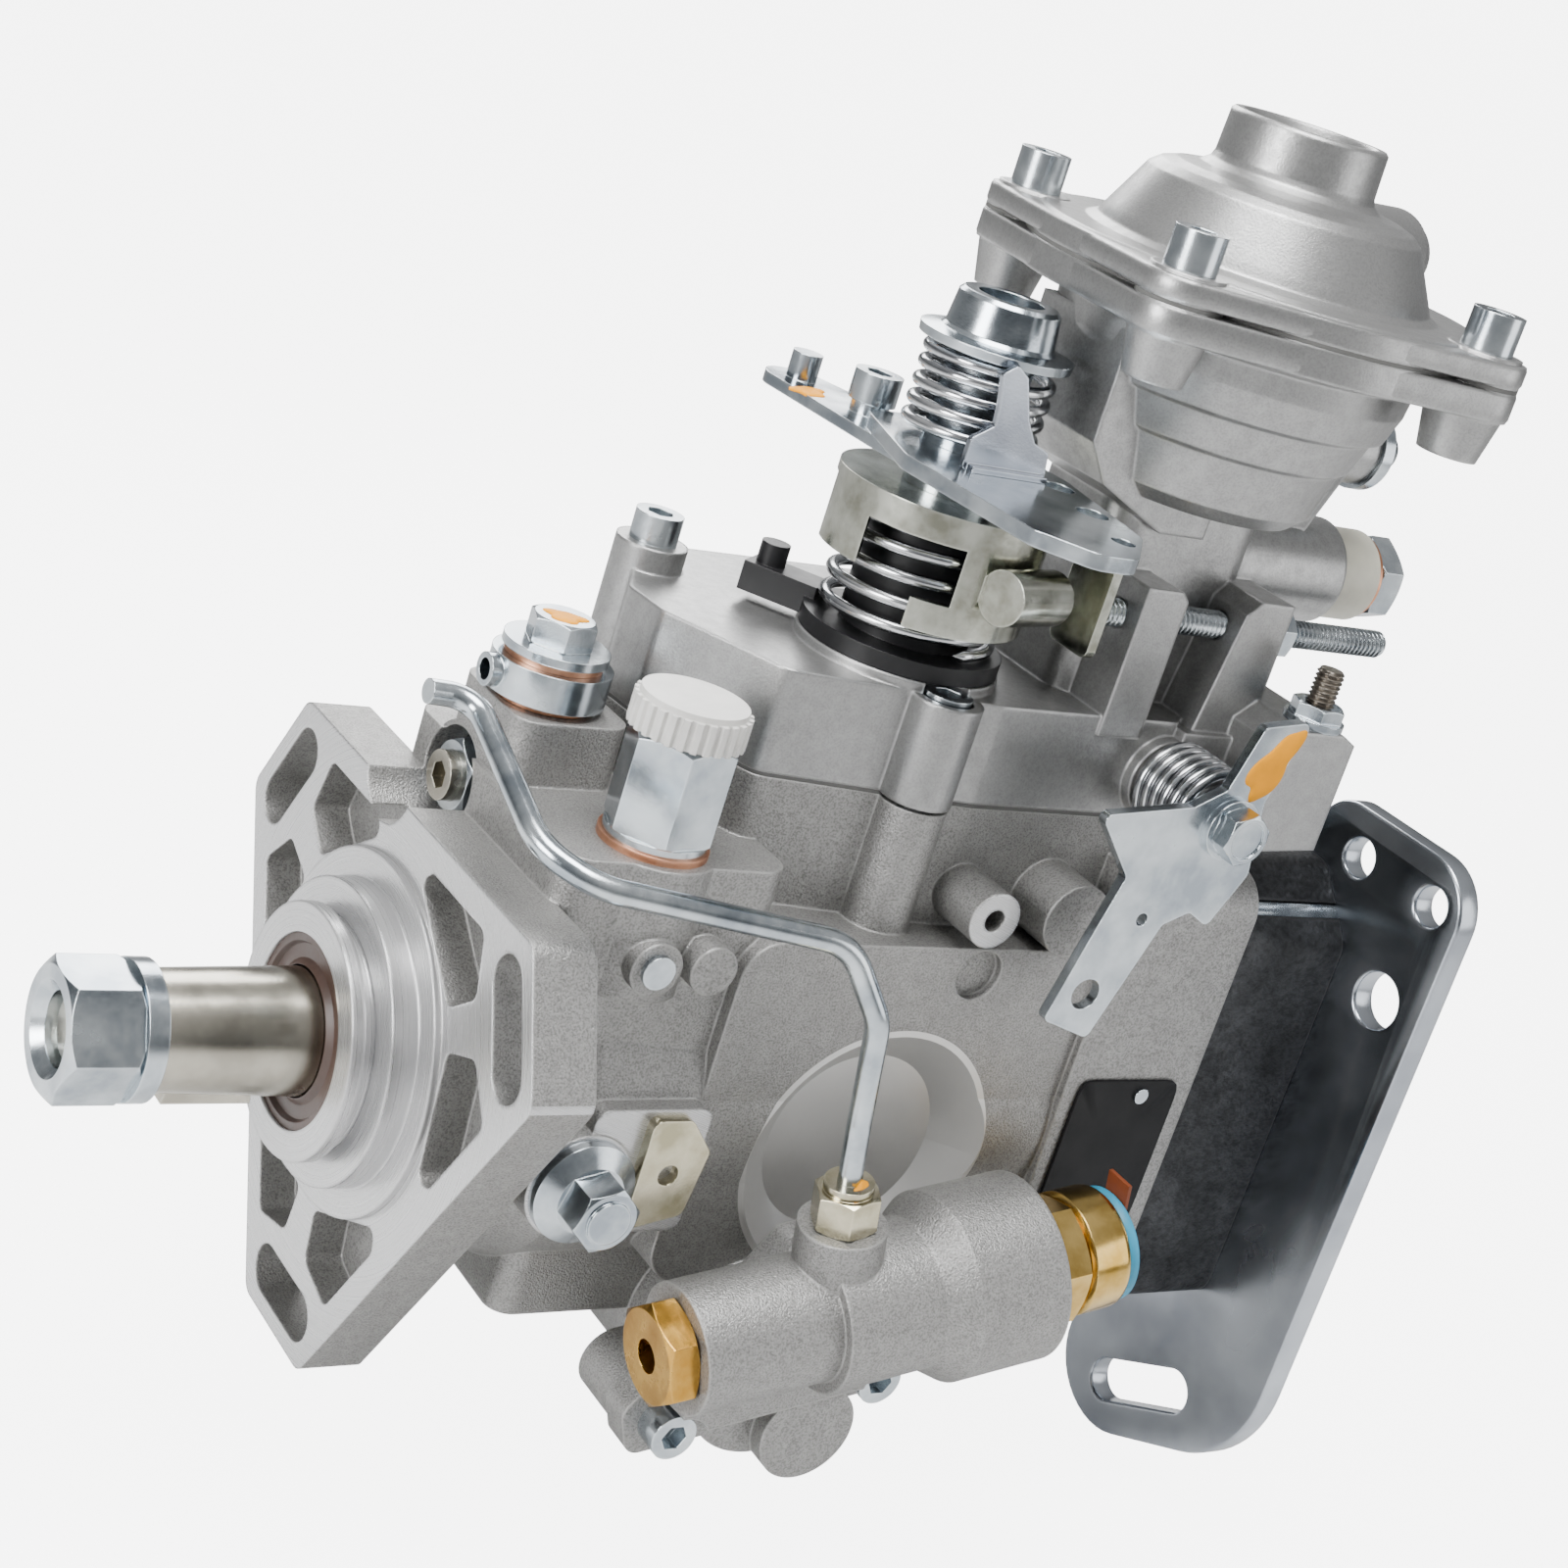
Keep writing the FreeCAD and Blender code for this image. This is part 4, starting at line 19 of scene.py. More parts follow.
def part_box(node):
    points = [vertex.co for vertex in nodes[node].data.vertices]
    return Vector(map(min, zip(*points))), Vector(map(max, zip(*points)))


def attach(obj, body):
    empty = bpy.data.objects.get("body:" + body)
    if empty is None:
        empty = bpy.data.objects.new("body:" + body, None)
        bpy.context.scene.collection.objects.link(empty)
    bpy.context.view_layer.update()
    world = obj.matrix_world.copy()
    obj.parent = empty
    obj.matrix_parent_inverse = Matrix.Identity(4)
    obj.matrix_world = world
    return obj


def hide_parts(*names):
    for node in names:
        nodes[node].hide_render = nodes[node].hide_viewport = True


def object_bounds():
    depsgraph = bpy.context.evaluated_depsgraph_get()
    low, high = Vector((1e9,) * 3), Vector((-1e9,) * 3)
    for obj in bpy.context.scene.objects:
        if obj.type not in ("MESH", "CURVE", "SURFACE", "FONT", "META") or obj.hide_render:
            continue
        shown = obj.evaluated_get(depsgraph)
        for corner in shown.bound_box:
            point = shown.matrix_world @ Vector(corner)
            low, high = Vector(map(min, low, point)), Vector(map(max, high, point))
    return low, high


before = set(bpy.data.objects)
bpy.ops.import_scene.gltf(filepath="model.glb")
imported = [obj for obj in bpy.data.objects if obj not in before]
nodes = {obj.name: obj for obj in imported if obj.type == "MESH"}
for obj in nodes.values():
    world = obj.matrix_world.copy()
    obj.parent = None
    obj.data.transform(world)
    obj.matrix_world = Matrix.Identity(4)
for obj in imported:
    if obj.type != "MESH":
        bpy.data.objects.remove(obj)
cad_low, cad_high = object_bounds()
MM = 0.001

# %% [markdown]
# The camera comes first, because everything else is judged through it. Its place was worked out
# from the photograph by matching the flange, the shaft and the joint faces, with the picture's
# middle as the optical axis. The photographer tilted the pump, which shows here as a rolled camera.

# %% Camera
CAMERA_PLACE = Vector((-243.5, -424.8, 241.2)) * MM
AZIMUTH, ELEVATION, ROLL = (math.radians(turn) for turn in (-37.41, 18.89, 17.88))
SENSOR_WIDTH = 36.0
PHOTO_SIDE = 1600
FOCAL_PIXELS = 2835.3

back = Vector((math.sin(AZIMUTH) * math.cos(ELEVATION),
               -math.cos(AZIMUTH) * math.cos(ELEVATION), math.sin(ELEVATION)))
level_right = Vector((math.cos(AZIMUTH), math.sin(AZIMUTH), 0))
level_up = back.cross(level_right)
right = level_right * math.cos(ROLL) + level_up * math.sin(ROLL)
up = level_up * math.cos(ROLL) - level_right * math.sin(ROLL)
camera_data = bpy.data.cameras.new("photo_camera")
camera_data.sensor_width = SENSOR_WIDTH
camera_data.lens = FOCAL_PIXELS / PHOTO_SIDE * SENSOR_WIDTH
camera_data.clip_start = 0.01
camera = bpy.data.objects.new("photo_camera", camera_data)
turn_matrix = Matrix((right, up, back)).transposed().to_4x4()
camera.matrix_world = Matrix.Translation(CAMERA_PLACE) @ turn_matrix
bpy.context.scene.collection.objects.link(camera)
bpy.context.scene.camera = camera
print("lens", round(camera_data.lens, 1), "mm")

# %% [markdown]
# A part is lit like a catalogue picture: a wide soft light overhead, a second one from the left
# to draw the edges, and a low fill. The surroundings that the metal mirrors run from bright to
# mid grey, because plated steel that mirrors only white looks like paper. What the camera sees
# directly stays pale.


# %% Lights, surroundings and floor
def soft_light(name, place, aim, width, watts):
    """A square area light at a place in millimetres, turned towards its aim."""
    data = bpy.data.lights.new(name, "AREA")
    data.size = width
    data.energy = watts
    lamp = bpy.data.objects.new(name, data)
    lamp.location = Vector(place) * MM
    way = Vector(aim) * MM - lamp.location
    lamp.rotation_euler = way.to_track_quat("-Z", "Y").to_euler()
    bpy.context.scene.collection.objects.link(lamp)
    return lamp


MIDDLE = (90, 0, 50)
WHITE = 10.0
FLOOR_SHARE = 0.62
soft_light("overhead", (-40, -120, 780), MIDDLE, 0.42, 11.0)
soft_light("left_edge", (-660, -160, 260), MIDDLE, 0.30, 6.0)
soft_light("right_fill", (620, -560, 220), MIDDLE, 0.45, 1.8)
soft_light("back_rim", (300, 560, 460), MIDDLE, 0.40, 4.5)

world = bpy.data.worlds.new("studio")
bpy.context.scene.world = world
world.use_nodes = True
tree = world.node_tree
tree.nodes.clear()
coordinate = tree.nodes.new("ShaderNodeTexCoord")
split = tree.nodes.new("ShaderNodeSeparateXYZ")
ramp = tree.nodes.new("ShaderNodeValToRGB")
ramp.color_ramp.elements[0].position = 0.30
ramp.color_ramp.elements[0].color = (0.07, 0.072, 0.078, 1)
ramp.color_ramp.elements[1].position = 0.86
ramp.color_ramp.elements[1].color = (1.0, 1.0, 1.0, 1)
horizon = ramp.color_ramp.elements.new(0.52)
horizon.color = (0.30, 0.31, 0.32, 1)
halve = tree.nodes.new("ShaderNodeMath")
halve.operation = "MULTIPLY_ADD"
halve.inputs[1].default_value = 0.5
halve.inputs[2].default_value = 0.5
mirrored = tree.nodes.new("ShaderNodeBackground")
mirrored.inputs["Strength"].default_value = 0.52
seen = tree.nodes.new("ShaderNodeBackground")
seen.inputs["Color"].default_value = (1, 1, 1, 1)
seen.inputs["Strength"].default_value = WHITE * FLOOR_SHARE + 0.15
path_kind = tree.nodes.new("ShaderNodeLightPath")
either = tree.nodes.new("ShaderNodeMixShader")
sky = tree.nodes.new("ShaderNodeOutputWorld")
for a, b in ((coordinate.outputs["Generated"], split.inputs[0]),
             (split.outputs["Z"], halve.inputs[0]), (halve.outputs[0], ramp.inputs[0]),
             (ramp.outputs["Color"], mirrored.inputs["Color"]),
             (path_kind.outputs["Is Camera Ray"], either.inputs[0]),
             (mirrored.outputs[0], either.inputs[1]), (seen.outputs[0], either.inputs[2]),
             (either.outputs[0], sky.inputs["Surface"])):
    tree.links.new(a, b)

FLOOR_DROP = 1.0 * MM
floor_height = cad_low[2] - FLOOR_DROP
floor_mesh = bpy.data.meshes.new("floor")
reach = 40.0
floor_mesh.from_pydata([(-reach, -reach, floor_height), (reach, -reach, floor_height),
                        (reach, reach, floor_height), (-reach, reach, floor_height)],
                       [], [(0, 1, 2, 3)])
floor = bpy.data.objects.new("floor", floor_mesh)
bpy.context.scene.collection.objects.link(floor)
print("floor at", round(floor_height / MM, 1), "mm")

# %% [markdown]
# Finishes are built from a few shared effects. Each effect is a node group that takes plain
# numbers and gives back a mask or a height, so the same cast grain can be coarse on the housing
# and fine on the cover. The shader itself stays in each material.


# %% Group maker
def new_group(name, inputs, outputs):
    """A shader node group: inputs are (name, kind, value), outputs are (name, kind)."""
    group = bpy.data.node_groups.new(name, "ShaderNodeTree")
    for label, kind, value in inputs:
        socket = group.interface.new_socket(label, in_out="INPUT", socket_type=kind)
        socket.default_value = value
    for label, kind in outputs:
        group.interface.new_socket(label, in_out="OUTPUT", socket_type=kind)
    return group, group.nodes.new("NodeGroupInput"), group.nodes.new("NodeGroupOutput")


FLOAT, VECTOR = "NodeSocketFloat", "NodeSocketVector"


def link(tree, *pairs):
    for a, b in pairs:
        tree.links.new(a, b)


def math_node(tree, operation, a=None, b=None, c=None, clamp=False):
    """A Math node whose inputs are sockets or numbers."""
    node = tree.nodes.new("ShaderNodeMath")
    node.operation = operation
    node.use_clamp = clamp
    for place, given in enumerate((a, b, c)):
        if given is None:
            continue
        if isinstance(given, (int, float)):
            node.inputs[place].default_value = given
        else:
            tree.links.new(given, node.inputs[place])
    return node.outputs[0]


def noise_node(tree, coords, scale, detail=3.0, roughness=0.55, distortion=0.0):
    """Noise over Object coordinates; the scale is a number or a socket, in cells per metre."""
    node = tree.nodes.new("ShaderNodeTexNoise")
    node.inputs["Detail"].default_value = detail
    node.inputs["Roughness"].default_value = roughness
    node.inputs["Distortion"].default_value = distortion
    tree.links.new(coords, node.inputs["Vector"])
    if isinstance(scale, (int, float)):
        node.inputs["Scale"].default_value = scale
    else:
        tree.links.new(scale, node.inputs["Scale"])
    return node.outputs["Fac"]


# %% [markdown]
# Sand casting leaves a grain of little pits with wider, softer waves beneath. The grain comes
# from noise at two sizes, and cells add the rounded lumps of single sand grains. The group gives
# a height for the bump and a mottling mask for colour and gloss.

# %% Cast grain group
cast_grain, grain_in, grain_out = new_group(
    "cast_grain",
    [("Position", VECTOR, (0, 0, 0)), ("Grain Size", FLOAT, 900.0), ("Lumps", FLOAT, 0.5)],
    [("Height", FLOAT), ("Mottle", FLOAT), ("Speckle", FLOAT)])
fine = noise_node(cast_grain, grain_in.outputs["Position"], grain_in.outputs["Grain Size"], 2.0)
wide_scale = math_node(cast_grain, "MULTIPLY", grain_in.outputs["Grain Size"], 0.16)
wide = noise_node(cast_grain, grain_in.outputs["Position"], wide_scale, 4.0, 0.6)
cells = cast_grain.nodes.new("ShaderNodeTexVoronoi")
cells.feature = "SMOOTH_F1"
link(cast_grain, (grain_in.outputs["Position"], cells.inputs["Vector"]),
     (grain_in.outputs["Grain Size"], cells.inputs["Scale"]))
lumps = math_node(cast_grain, "MULTIPLY", cells.outputs["Distance"], grain_in.outputs["Lumps"])
height = math_node(cast_grain, "SUBTRACT", fine, lumps)
height = math_node(cast_grain, "MULTIPLY_ADD", wide, 0.35, height)
link(cast_grain, (height, grain_out.inputs["Height"]), (wide, grain_out.inputs["Mottle"]),
     (fine, grain_out.inputs["Speckle"]))
print("group", cast_grain.name)

# %% [markdown]
# Handling polishes the edges of a casting. The Bevel node returns the normal of a rounded edge;
# where that differs from the true normal, an edge is near. The group turns the difference into a
# mask, broken up by noise so that the wear is uneven.

# %% Edge wear group
edge_wear, wear_in, wear_out = new_group(
    "edge_wear",
    [("Position", VECTOR, (0, 0, 0)), ("Amount", FLOAT, 1.0)], [("Mask", FLOAT)])
rounded = edge_wear.nodes.new("ShaderNodeBevel")
rounded.samples = 4
rounded.inputs["Radius"].default_value = 0.9 * MM
true_normal = edge_wear.nodes.new("ShaderNodeNewGeometry")
likeness = edge_wear.nodes.new("ShaderNodeVectorMath")
likeness.operation = "DOT_PRODUCT"
link(edge_wear, (rounded.outputs[0], likeness.inputs[0]),
     (true_normal.outputs["Normal"], likeness.inputs[1]))
away = math_node(edge_wear, "SUBTRACT", 1.0, likeness.outputs["Value"])
patchy = noise_node(edge_wear, wear_in.outputs["Position"], 260.0, 4.0)
broken = math_node(edge_wear, "MULTIPLY", away, patchy)
scaled = math_node(edge_wear, "MULTIPLY", broken, wear_in.outputs["Amount"])
mask = math_node(edge_wear, "MULTIPLY", scaled, 9.0, clamp=True)
link(edge_wear, (mask, wear_out.inputs["Mask"]))

# %% [markdown]
# A face turned on a lathe keeps fine rings about the spindle, and a milled face keeps parallel
# strokes. Both are waves of very fine bands, read along a radius or along one axis. The pump's
# turned faces share the shaft's axis, so the radius is the distance from X.

# %% Tool mark group
tool_marks, marks_in, marks_out = new_group(
    "tool_marks",
    [("Position", VECTOR, (0, 0, 0)), ("Bands", FLOAT, 2600.0), ("Rings", FLOAT, 1.0),
     ("Slant", FLOAT, 0.0)],
    [("Height", FLOAT), ("Streak", FLOAT)])
parts = tool_marks.nodes.new("ShaderNodeSeparateXYZ")
link(tool_marks, (marks_in.outputs["Position"], parts.inputs[0]))
y_squared = math_node(tool_marks, "MULTIPLY", parts.outputs["Y"], parts.outputs["Y"])
z_squared = math_node(tool_marks, "MULTIPLY", parts.outputs["Z"], parts.outputs["Z"])
radius = math_node(tool_marks, "SQRT", math_node(tool_marks, "ADD", y_squared, z_squared))
leaning = math_node(tool_marks, "MULTIPLY", parts.outputs["Z"], marks_in.outputs["Slant"])
strokes = math_node(tool_marks, "MULTIPLY_ADD", leaning, 2.8, parts.outputs["X"])
ring_part = math_node(tool_marks, "MULTIPLY", radius, marks_in.outputs["Rings"])
rest = math_node(tool_marks, "SUBTRACT", 1.0, marks_in.outputs["Rings"])
stroke_part = math_node(tool_marks, "MULTIPLY", strokes, rest)
along = math_node(tool_marks, "ADD", ring_part, stroke_part)
banded = math_node(tool_marks, "MULTIPLY", along, marks_in.outputs["Bands"])
line = tool_marks.nodes.new("ShaderNodeTexNoise")
line.noise_dimensions = "1D"
line.inputs["Scale"].default_value = 1.0
line.inputs["Detail"].default_value = 3.0
link(tool_marks, (banded, line.inputs["W"]), (line.outputs["Fac"], marks_out.inputs["Height"]),
     (line.outputs["Fac"], marks_out.inputs["Streak"]))

# %% [markdown]
# Every plated or drawn metal is a Principled BSDF with Metallic at 1. One maker sets it up with a
# colour that drifts between two tones and a roughness that drifts between two values, because real
# plating and machining are never even. What changes from finish to finish is passed in.


# %% Metal maker
def colour_mix(tree, factor, first, second):
    """Mix two colours, given as sockets or (r, g, b), by a factor socket."""
    node = tree.nodes.new("ShaderNodeMix")
    node.data_type = "RGBA"
    tree.links.new(factor, node.inputs[0])
    for place, given in ((6, first), (7, second)):
        if isinstance(given, tuple):
            node.inputs[place].default_value = (*given, 1)
        else:
            tree.links.new(given, node.inputs[place])
    return node.outputs[2]


def spread(tree, source, low, high, to_low, to_high):
    """Map a value from one range to another, clamped."""
    node = tree.nodes.new("ShaderNodeMapRange")
    tree.links.new(source, node.inputs["Value"])
    for label, number in zip(("From Min", "From Max", "To Min", "To Max"),
                             (low, high, to_low, to_high)):
        node.inputs[label].default_value = number
    return node.outputs["Result"]


def start_material(name):
    """A material with its shader, its output and Object coordinates."""
    material = bpy.data.materials.new(name)
    material.use_nodes = True
    tree = material.node_tree
    shader = tree.nodes["Principled BSDF"]
    place = tree.nodes.new("ShaderNodeTexCoord").outputs["Object"]
    return material, tree, shader, place


def add_group(tree, group, place, **values):
    node = tree.nodes.new("ShaderNodeGroup")
    node.node_tree = group
    tree.links.new(place, node.inputs["Position"])
    for label, number in values.items():
        node.inputs[label.replace("_", " ")].default_value = number
    return node


def bump(tree, height, distance, strength=1.0, under=None):
    node = tree.nodes.new("ShaderNodeBump")
    node.inputs["Strength"].default_value = strength
    node.inputs["Distance"].default_value = distance
    tree.links.new(height, node.inputs["Height"])
    if under is not None:
        tree.links.new(under, node.inputs["Normal"])
    return node.outputs["Normal"]


def soft_edges(tree, width):
    """The normal of edges rounded by a width in millimetres, as a tumbled or cast edge has."""
    node = tree.nodes.new("ShaderNodeBevel")
    node.samples = 6
    node.inputs["Radius"].default_value = width * MM
    return node.outputs["Normal"]


def plated(name, dark, light, rough, edge=0.3, drift=70.0, grain=1500.0, depth=0.02):
    """Plated or drawn metal: two drifting tones, a roughness range and a faint grain."""
    material, tree, shader, place = start_material(name)
    shader.inputs["Metallic"].default_value = 1.0
    cloud = noise_node(tree, place, drift, 4.0, 0.6)
    fine_grain = noise_node(tree, place, grain, 2.0)
    tone = spread(tree, cloud, 0.35, 0.65, 0.0, 1.0)
    wear = add_group(tree, edge_wear, place, Amount=0.6)
    base = colour_mix(tree, tone, dark, light)
    bright = tuple(min(1.0, part * 1.15) for part in light)
    worn = colour_mix(tree, wear.outputs["Mask"], base, bright)
    link(tree, (worn, shader.inputs["Base Color"]),
         (spread(tree, cloud, 0.3, 0.7, *rough), shader.inputs["Roughness"]))
    normal = bump(tree, fine_grain, depth * MM, 0.5, soft_edges(tree, edge))
    tree.links.new(normal, shader.inputs["Normal"])
    return material


zinc = plated("zinc_plating", (0.31, 0.35, 0.39), (0.60, 0.645, 0.67), (0.14, 0.28), drift=75)
yellow_zinc = plated("yellow_zinc", (0.31, 0.31, 0.25), (0.60, 0.61, 0.54), (0.14, 0.26), drift=130)
spring_wire = plated("spring_wire", (0.40, 0.41, 0.43), (0.68, 0.69, 0.70), (0.12, 0.24), edge=0.05)
ground_steel = plated("ground_steel", (0.34, 0.32, 0.27), (0.56, 0.53, 0.45), (0.18, 0.32),
                      drift=45)
brass = plated("machined_brass", (0.42, 0.21, 0.035), (0.64, 0.38, 0.09), (0.18, 0.32), drift=120)
copper = plated("soft_copper", (0.48, 0.20, 0.11), (0.72, 0.38, 0.24), (0.28, 0.45), drift=200)
dark_zinc = plated("bracket_zinc", (0.24, 0.26, 0.30), (0.46, 0.49, 0.53), (0.14, 0.28), drift=22)
pale_gold = plated("pale_gold_zinc", (0.36, 0.33, 0.22), (0.66, 0.61, 0.46), (0.14, 0.26),
                   drift=110)
gold_zinc = plated("gold_zinc", (0.44, 0.27, 0.055), (0.70, 0.49, 0.17), (0.14, 0.26), drift=90)
screw_steel = plated("oiled_steel", (0.13, 0.11, 0.09), (0.30, 0.27, 0.23), (0.24, 0.40), drift=180)
print("plated metals: 10")

# %% [markdown]
# The housing is a sand casting whose flange face, pilot, side pads and dish are machined
# afterwards. Masks from Object coordinates pick those faces: the pilot in front of the flange face,
# what looks along the shaft there, the side's flat pads, and the dish by its circle. The rest
# keeps the grain. The cover is a pressure die casting, which is the same metal with a finer skin.
# A casting's dull skin is a little less metallic than a plated surface.


# %% Castings
DISH_X, DISH_Z, DISH_RADIUS = 97.0, -4.0, 29.2
PILOT_EDGE, FLANGE_EDGE = -0.2, 1.0
PAD_LEVEL, DISH_LEVEL = -45.5, -30


def casting(name, dark, light, grain, depth, rough, edge, turned_front=False, lumps=0.5,
            metallic=0.78, pits=0.62):
    """Cast aluminium; with turned_front, its machined faces get lathe rings or milled strokes."""
    material, tree, shader, place = start_material(name)
    shader.inputs["Metallic"].default_value = metallic
    skin = add_group(tree, cast_grain, place, Grain_Size=grain, Lumps=lumps)
    wear = add_group(tree, edge_wear, place, Amount=1.0)
    tone = spread(tree, skin.outputs["Mottle"], 0.35, 0.68, 0.0, 1.0)
    even = colour_mix(tree, tone, dark, light)
    deep = colour_mix(tree, tone, tuple(part * pits for part in dark),
                      tuple(part * pits for part in light))
    speck = spread(tree, skin.outputs["Speckle"], 0.36, 0.56, 0.0, 1.0)
    cast = colour_mix(tree, speck, deep, even)
    bright = tuple(min(1.0, part * 1.25) for part in light)
    worn = colour_mix(tree, wear.outputs["Mask"], cast, bright)
    gloss = spread(tree, skin.outputs["Mottle"], 0.3, 0.7, rough[1], rough[0])
    rounded = soft_edges(tree, edge)
    grained = bump(tree, skin.outputs["Height"], depth * MM, 1.0, rounded)
    if not turned_front:
        link(tree, (worn, shader.inputs["Base Color"]), (gloss, shader.inputs["Roughness"]),
             (grained, shader.inputs["Normal"]))
        return material
    facing = tree.nodes.new("ShaderNodeSeparateXYZ")
    where = tree.nodes.new("ShaderNodeSeparateXYZ")
    geometry = tree.nodes.new("ShaderNodeNewGeometry")
    link(tree, (geometry.outputs["True Normal"], facing.inputs[0]), (place, where.inputs[0]))
    looks_front = math_node(tree, "LESS_THAN", facing.outputs["X"], -0.9)
    at_front = math_node(tree, "LESS_THAN", where.outputs["X"], FLANGE_EDGE * MM)
    on_nose = math_node(tree, "LESS_THAN", where.outputs["X"], PILOT_EDGE * MM)
    front = math_node(tree, "MULTIPLY", looks_front, at_front)
    turned = math_node(tree, "MAXIMUM", front, on_nose)
    looks_side = math_node(tree, "LESS_THAN", facing.outputs["Y"], -0.98)
    at_side = math_node(tree, "LESS_THAN", where.outputs["Y"], PAD_LEVEL * MM)
    milled = math_node(tree, "MULTIPLY", looks_side, at_side)
    across = math_node(tree, "SUBTRACT", where.outputs["X"], DISH_X * MM)
    above = math_node(tree, "SUBTRACT", where.outputs["Z"], DISH_Z * MM)
    square = math_node(tree, "ADD", math_node(tree, "MULTIPLY", across, across),
                       math_node(tree, "MULTIPLY", above, above))
    in_dish = math_node(tree, "LESS_THAN", square, (DISH_RADIUS * MM) ** 2)
    near_side = math_node(tree, "LESS_THAN", where.outputs["Y"], DISH_LEVEL * MM)
    dish = math_node(tree, "MULTIPLY", in_dish, near_side)
    machined = math_node(tree, "MAXIMUM", turned, milled, clamp=True)
    marks = add_group(tree, tool_marks, place, Bands=2400.0)
    link(tree, (looks_front, marks.inputs["Rings"]), (milled, marks.inputs["Slant"]))
    streaked = colour_mix(tree, marks.outputs["Streak"], (0.42, 0.42, 0.43), (0.66, 0.66, 0.66))
    colour = colour_mix(tree, dish, colour_mix(tree, machined, worn, streaked), (0.66, 0.655, 0.64))
    cut_normal = bump(tree, marks.outputs["Height"], 0.03 * MM, 0.6, rounded)
    pick = tree.nodes.new("ShaderNodeMix")
    pick.data_type = "VECTOR"
    smooth = tree.nodes.new("ShaderNodeMix")
    smooth.data_type = "VECTOR"
    link(tree, (machined, pick.inputs[0]), (grained, pick.inputs[4]), (cut_normal, pick.inputs[5]),
         (dish, smooth.inputs[0]), (pick.outputs[1], smooth.inputs[4]),
         (geometry.outputs["Normal"], smooth.inputs[5]),
         (smooth.outputs[1], shader.inputs["Normal"]), (colour, shader.inputs["Base Color"]))
    cut_gloss = spread(tree, marks.outputs["Streak"], 0.3, 0.7, 0.24, 0.36)
    both = tree.nodes.new("ShaderNodeMix")
    link(tree, (machined, both.inputs[0]), (gloss, both.inputs[2]), (cut_gloss, both.inputs[3]),
         (math_node(tree, "MULTIPLY_ADD", dish, -0.06, both.outputs[0]),
          shader.inputs["Roughness"]))
    return material


sand_cast = casting("sand_cast_aluminium", (0.325, 0.321, 0.312), (0.365, 0.361, 0.352), 2300, 0.17,
                    (0.44, 0.54), 0.9, turned_front=True)
unit_cast = casting("cold_start_casting", (0.325, 0.321, 0.312), (0.365, 0.361, 0.352), 2300, 0.17,
                    (0.44, 0.54), 0.9)
die_cast = casting("die_cast_aluminium", (0.335, 0.335, 0.332), (0.385, 0.385, 0.382), 2200, 0.035,
                   (0.32, 0.42), 1.0, lumps=0.2, metallic=0.88, pits=0.85)
dark_cast = casting("dark_cast_head", (0.030, 0.031, 0.033), (0.060, 0.061, 0.064), 620, 0.30,
                    (0.40, 0.56), 0.8)
print("castings: 4")

# %% [markdown]
# Rubber, gaskets and moulded plastic are not metal: their colour comes from within, and only a
# thin skin reflects. Moulded plastic has a fine frost; rubber has a coarser one.


# %% Plastics, rubber and paint
def moulded(name, colour, rough, grain=1800.0, depth=0.02, edge=0.3, shine=0.5):
    """Non-metal with a slightly uneven colour, roughness and a fine skin."""
    material, tree, shader, place = start_material(name)
    shader.inputs["Specular IOR Level"].default_value = shine
    cloud = noise_node(tree, place, 120.0, 4.0)
    shade = tuple(part * 0.82 for part in colour)
    tone = colour_mix(tree, spread(tree, cloud, 0.35, 0.65, 0.0, 1.0), shade, colour)
    fine_skin = noise_node(tree, place, grain, 2.0)
    link(tree, (tone, shader.inputs["Base Color"]),
         (spread(tree, cloud, 0.3, 0.7, rough - 0.06, rough + 0.08), shader.inputs["Roughness"]),
         (bump(tree, fine_skin, depth * MM, 0.6, soft_edges(tree, edge)), shader.inputs["Normal"]))
    return material


white_plastic = moulded("white_plastic", (0.72, 0.71, 0.68), 0.42)
cream_plastic = moulded("cream_plastic", (0.62, 0.60, 0.50), 0.40)
black_plastic = moulded("black_plastic", (0.008, 0.008, 0.009), 0.38, shine=0.35)
seal_rubber = moulded("seal_rubber", (0.055, 0.030, 0.022), 0.40, 900, 0.04)
gasket_sheet = moulded("gasket_sheet", (0.10, 0.10, 0.095), 0.60)
cyan_gasket = moulded("cyan_gasket", (0.02, 0.27, 0.44), 0.45)
black_coating = moulded("black_coating", (0.006, 0.006, 0.007), 0.50, 700, 0.03, shine=0.2)
brown_plastic = moulded("brown_terminal", (0.20, 0.05, 0.018), 0.45, shine=0.2)
orange_paint = moulded("sealing_paint", (0.90, 0.35, 0.0), 0.50, 500, 0.15, shine=0.12)
print("moulded and painted finishes: 9")

# %% [markdown]
# The pieces that follow are surfaces worked out with numpy. A grid of two parameters, round and
# along, is turned into points by one formula for each shape. The mesh maker closes the grid on
# itself going round, and closes both ends with one point each, so every piece is a closed solid.

# %% Grid mesh maker
def frame_for(direction):
    """Three unit axes: two across the direction, then the direction itself."""
    along = np.array(direction, float)
    along = along / np.linalg.norm(along)
    helper = np.array((0.0, 0.0, 1.0)) if abs(along[2]) < 0.9 else np.array((1.0, 0.0, 0.0))
    first = np.cross(helper, along)
    first = first / np.linalg.norm(first)
    return first, np.cross(along, first), along


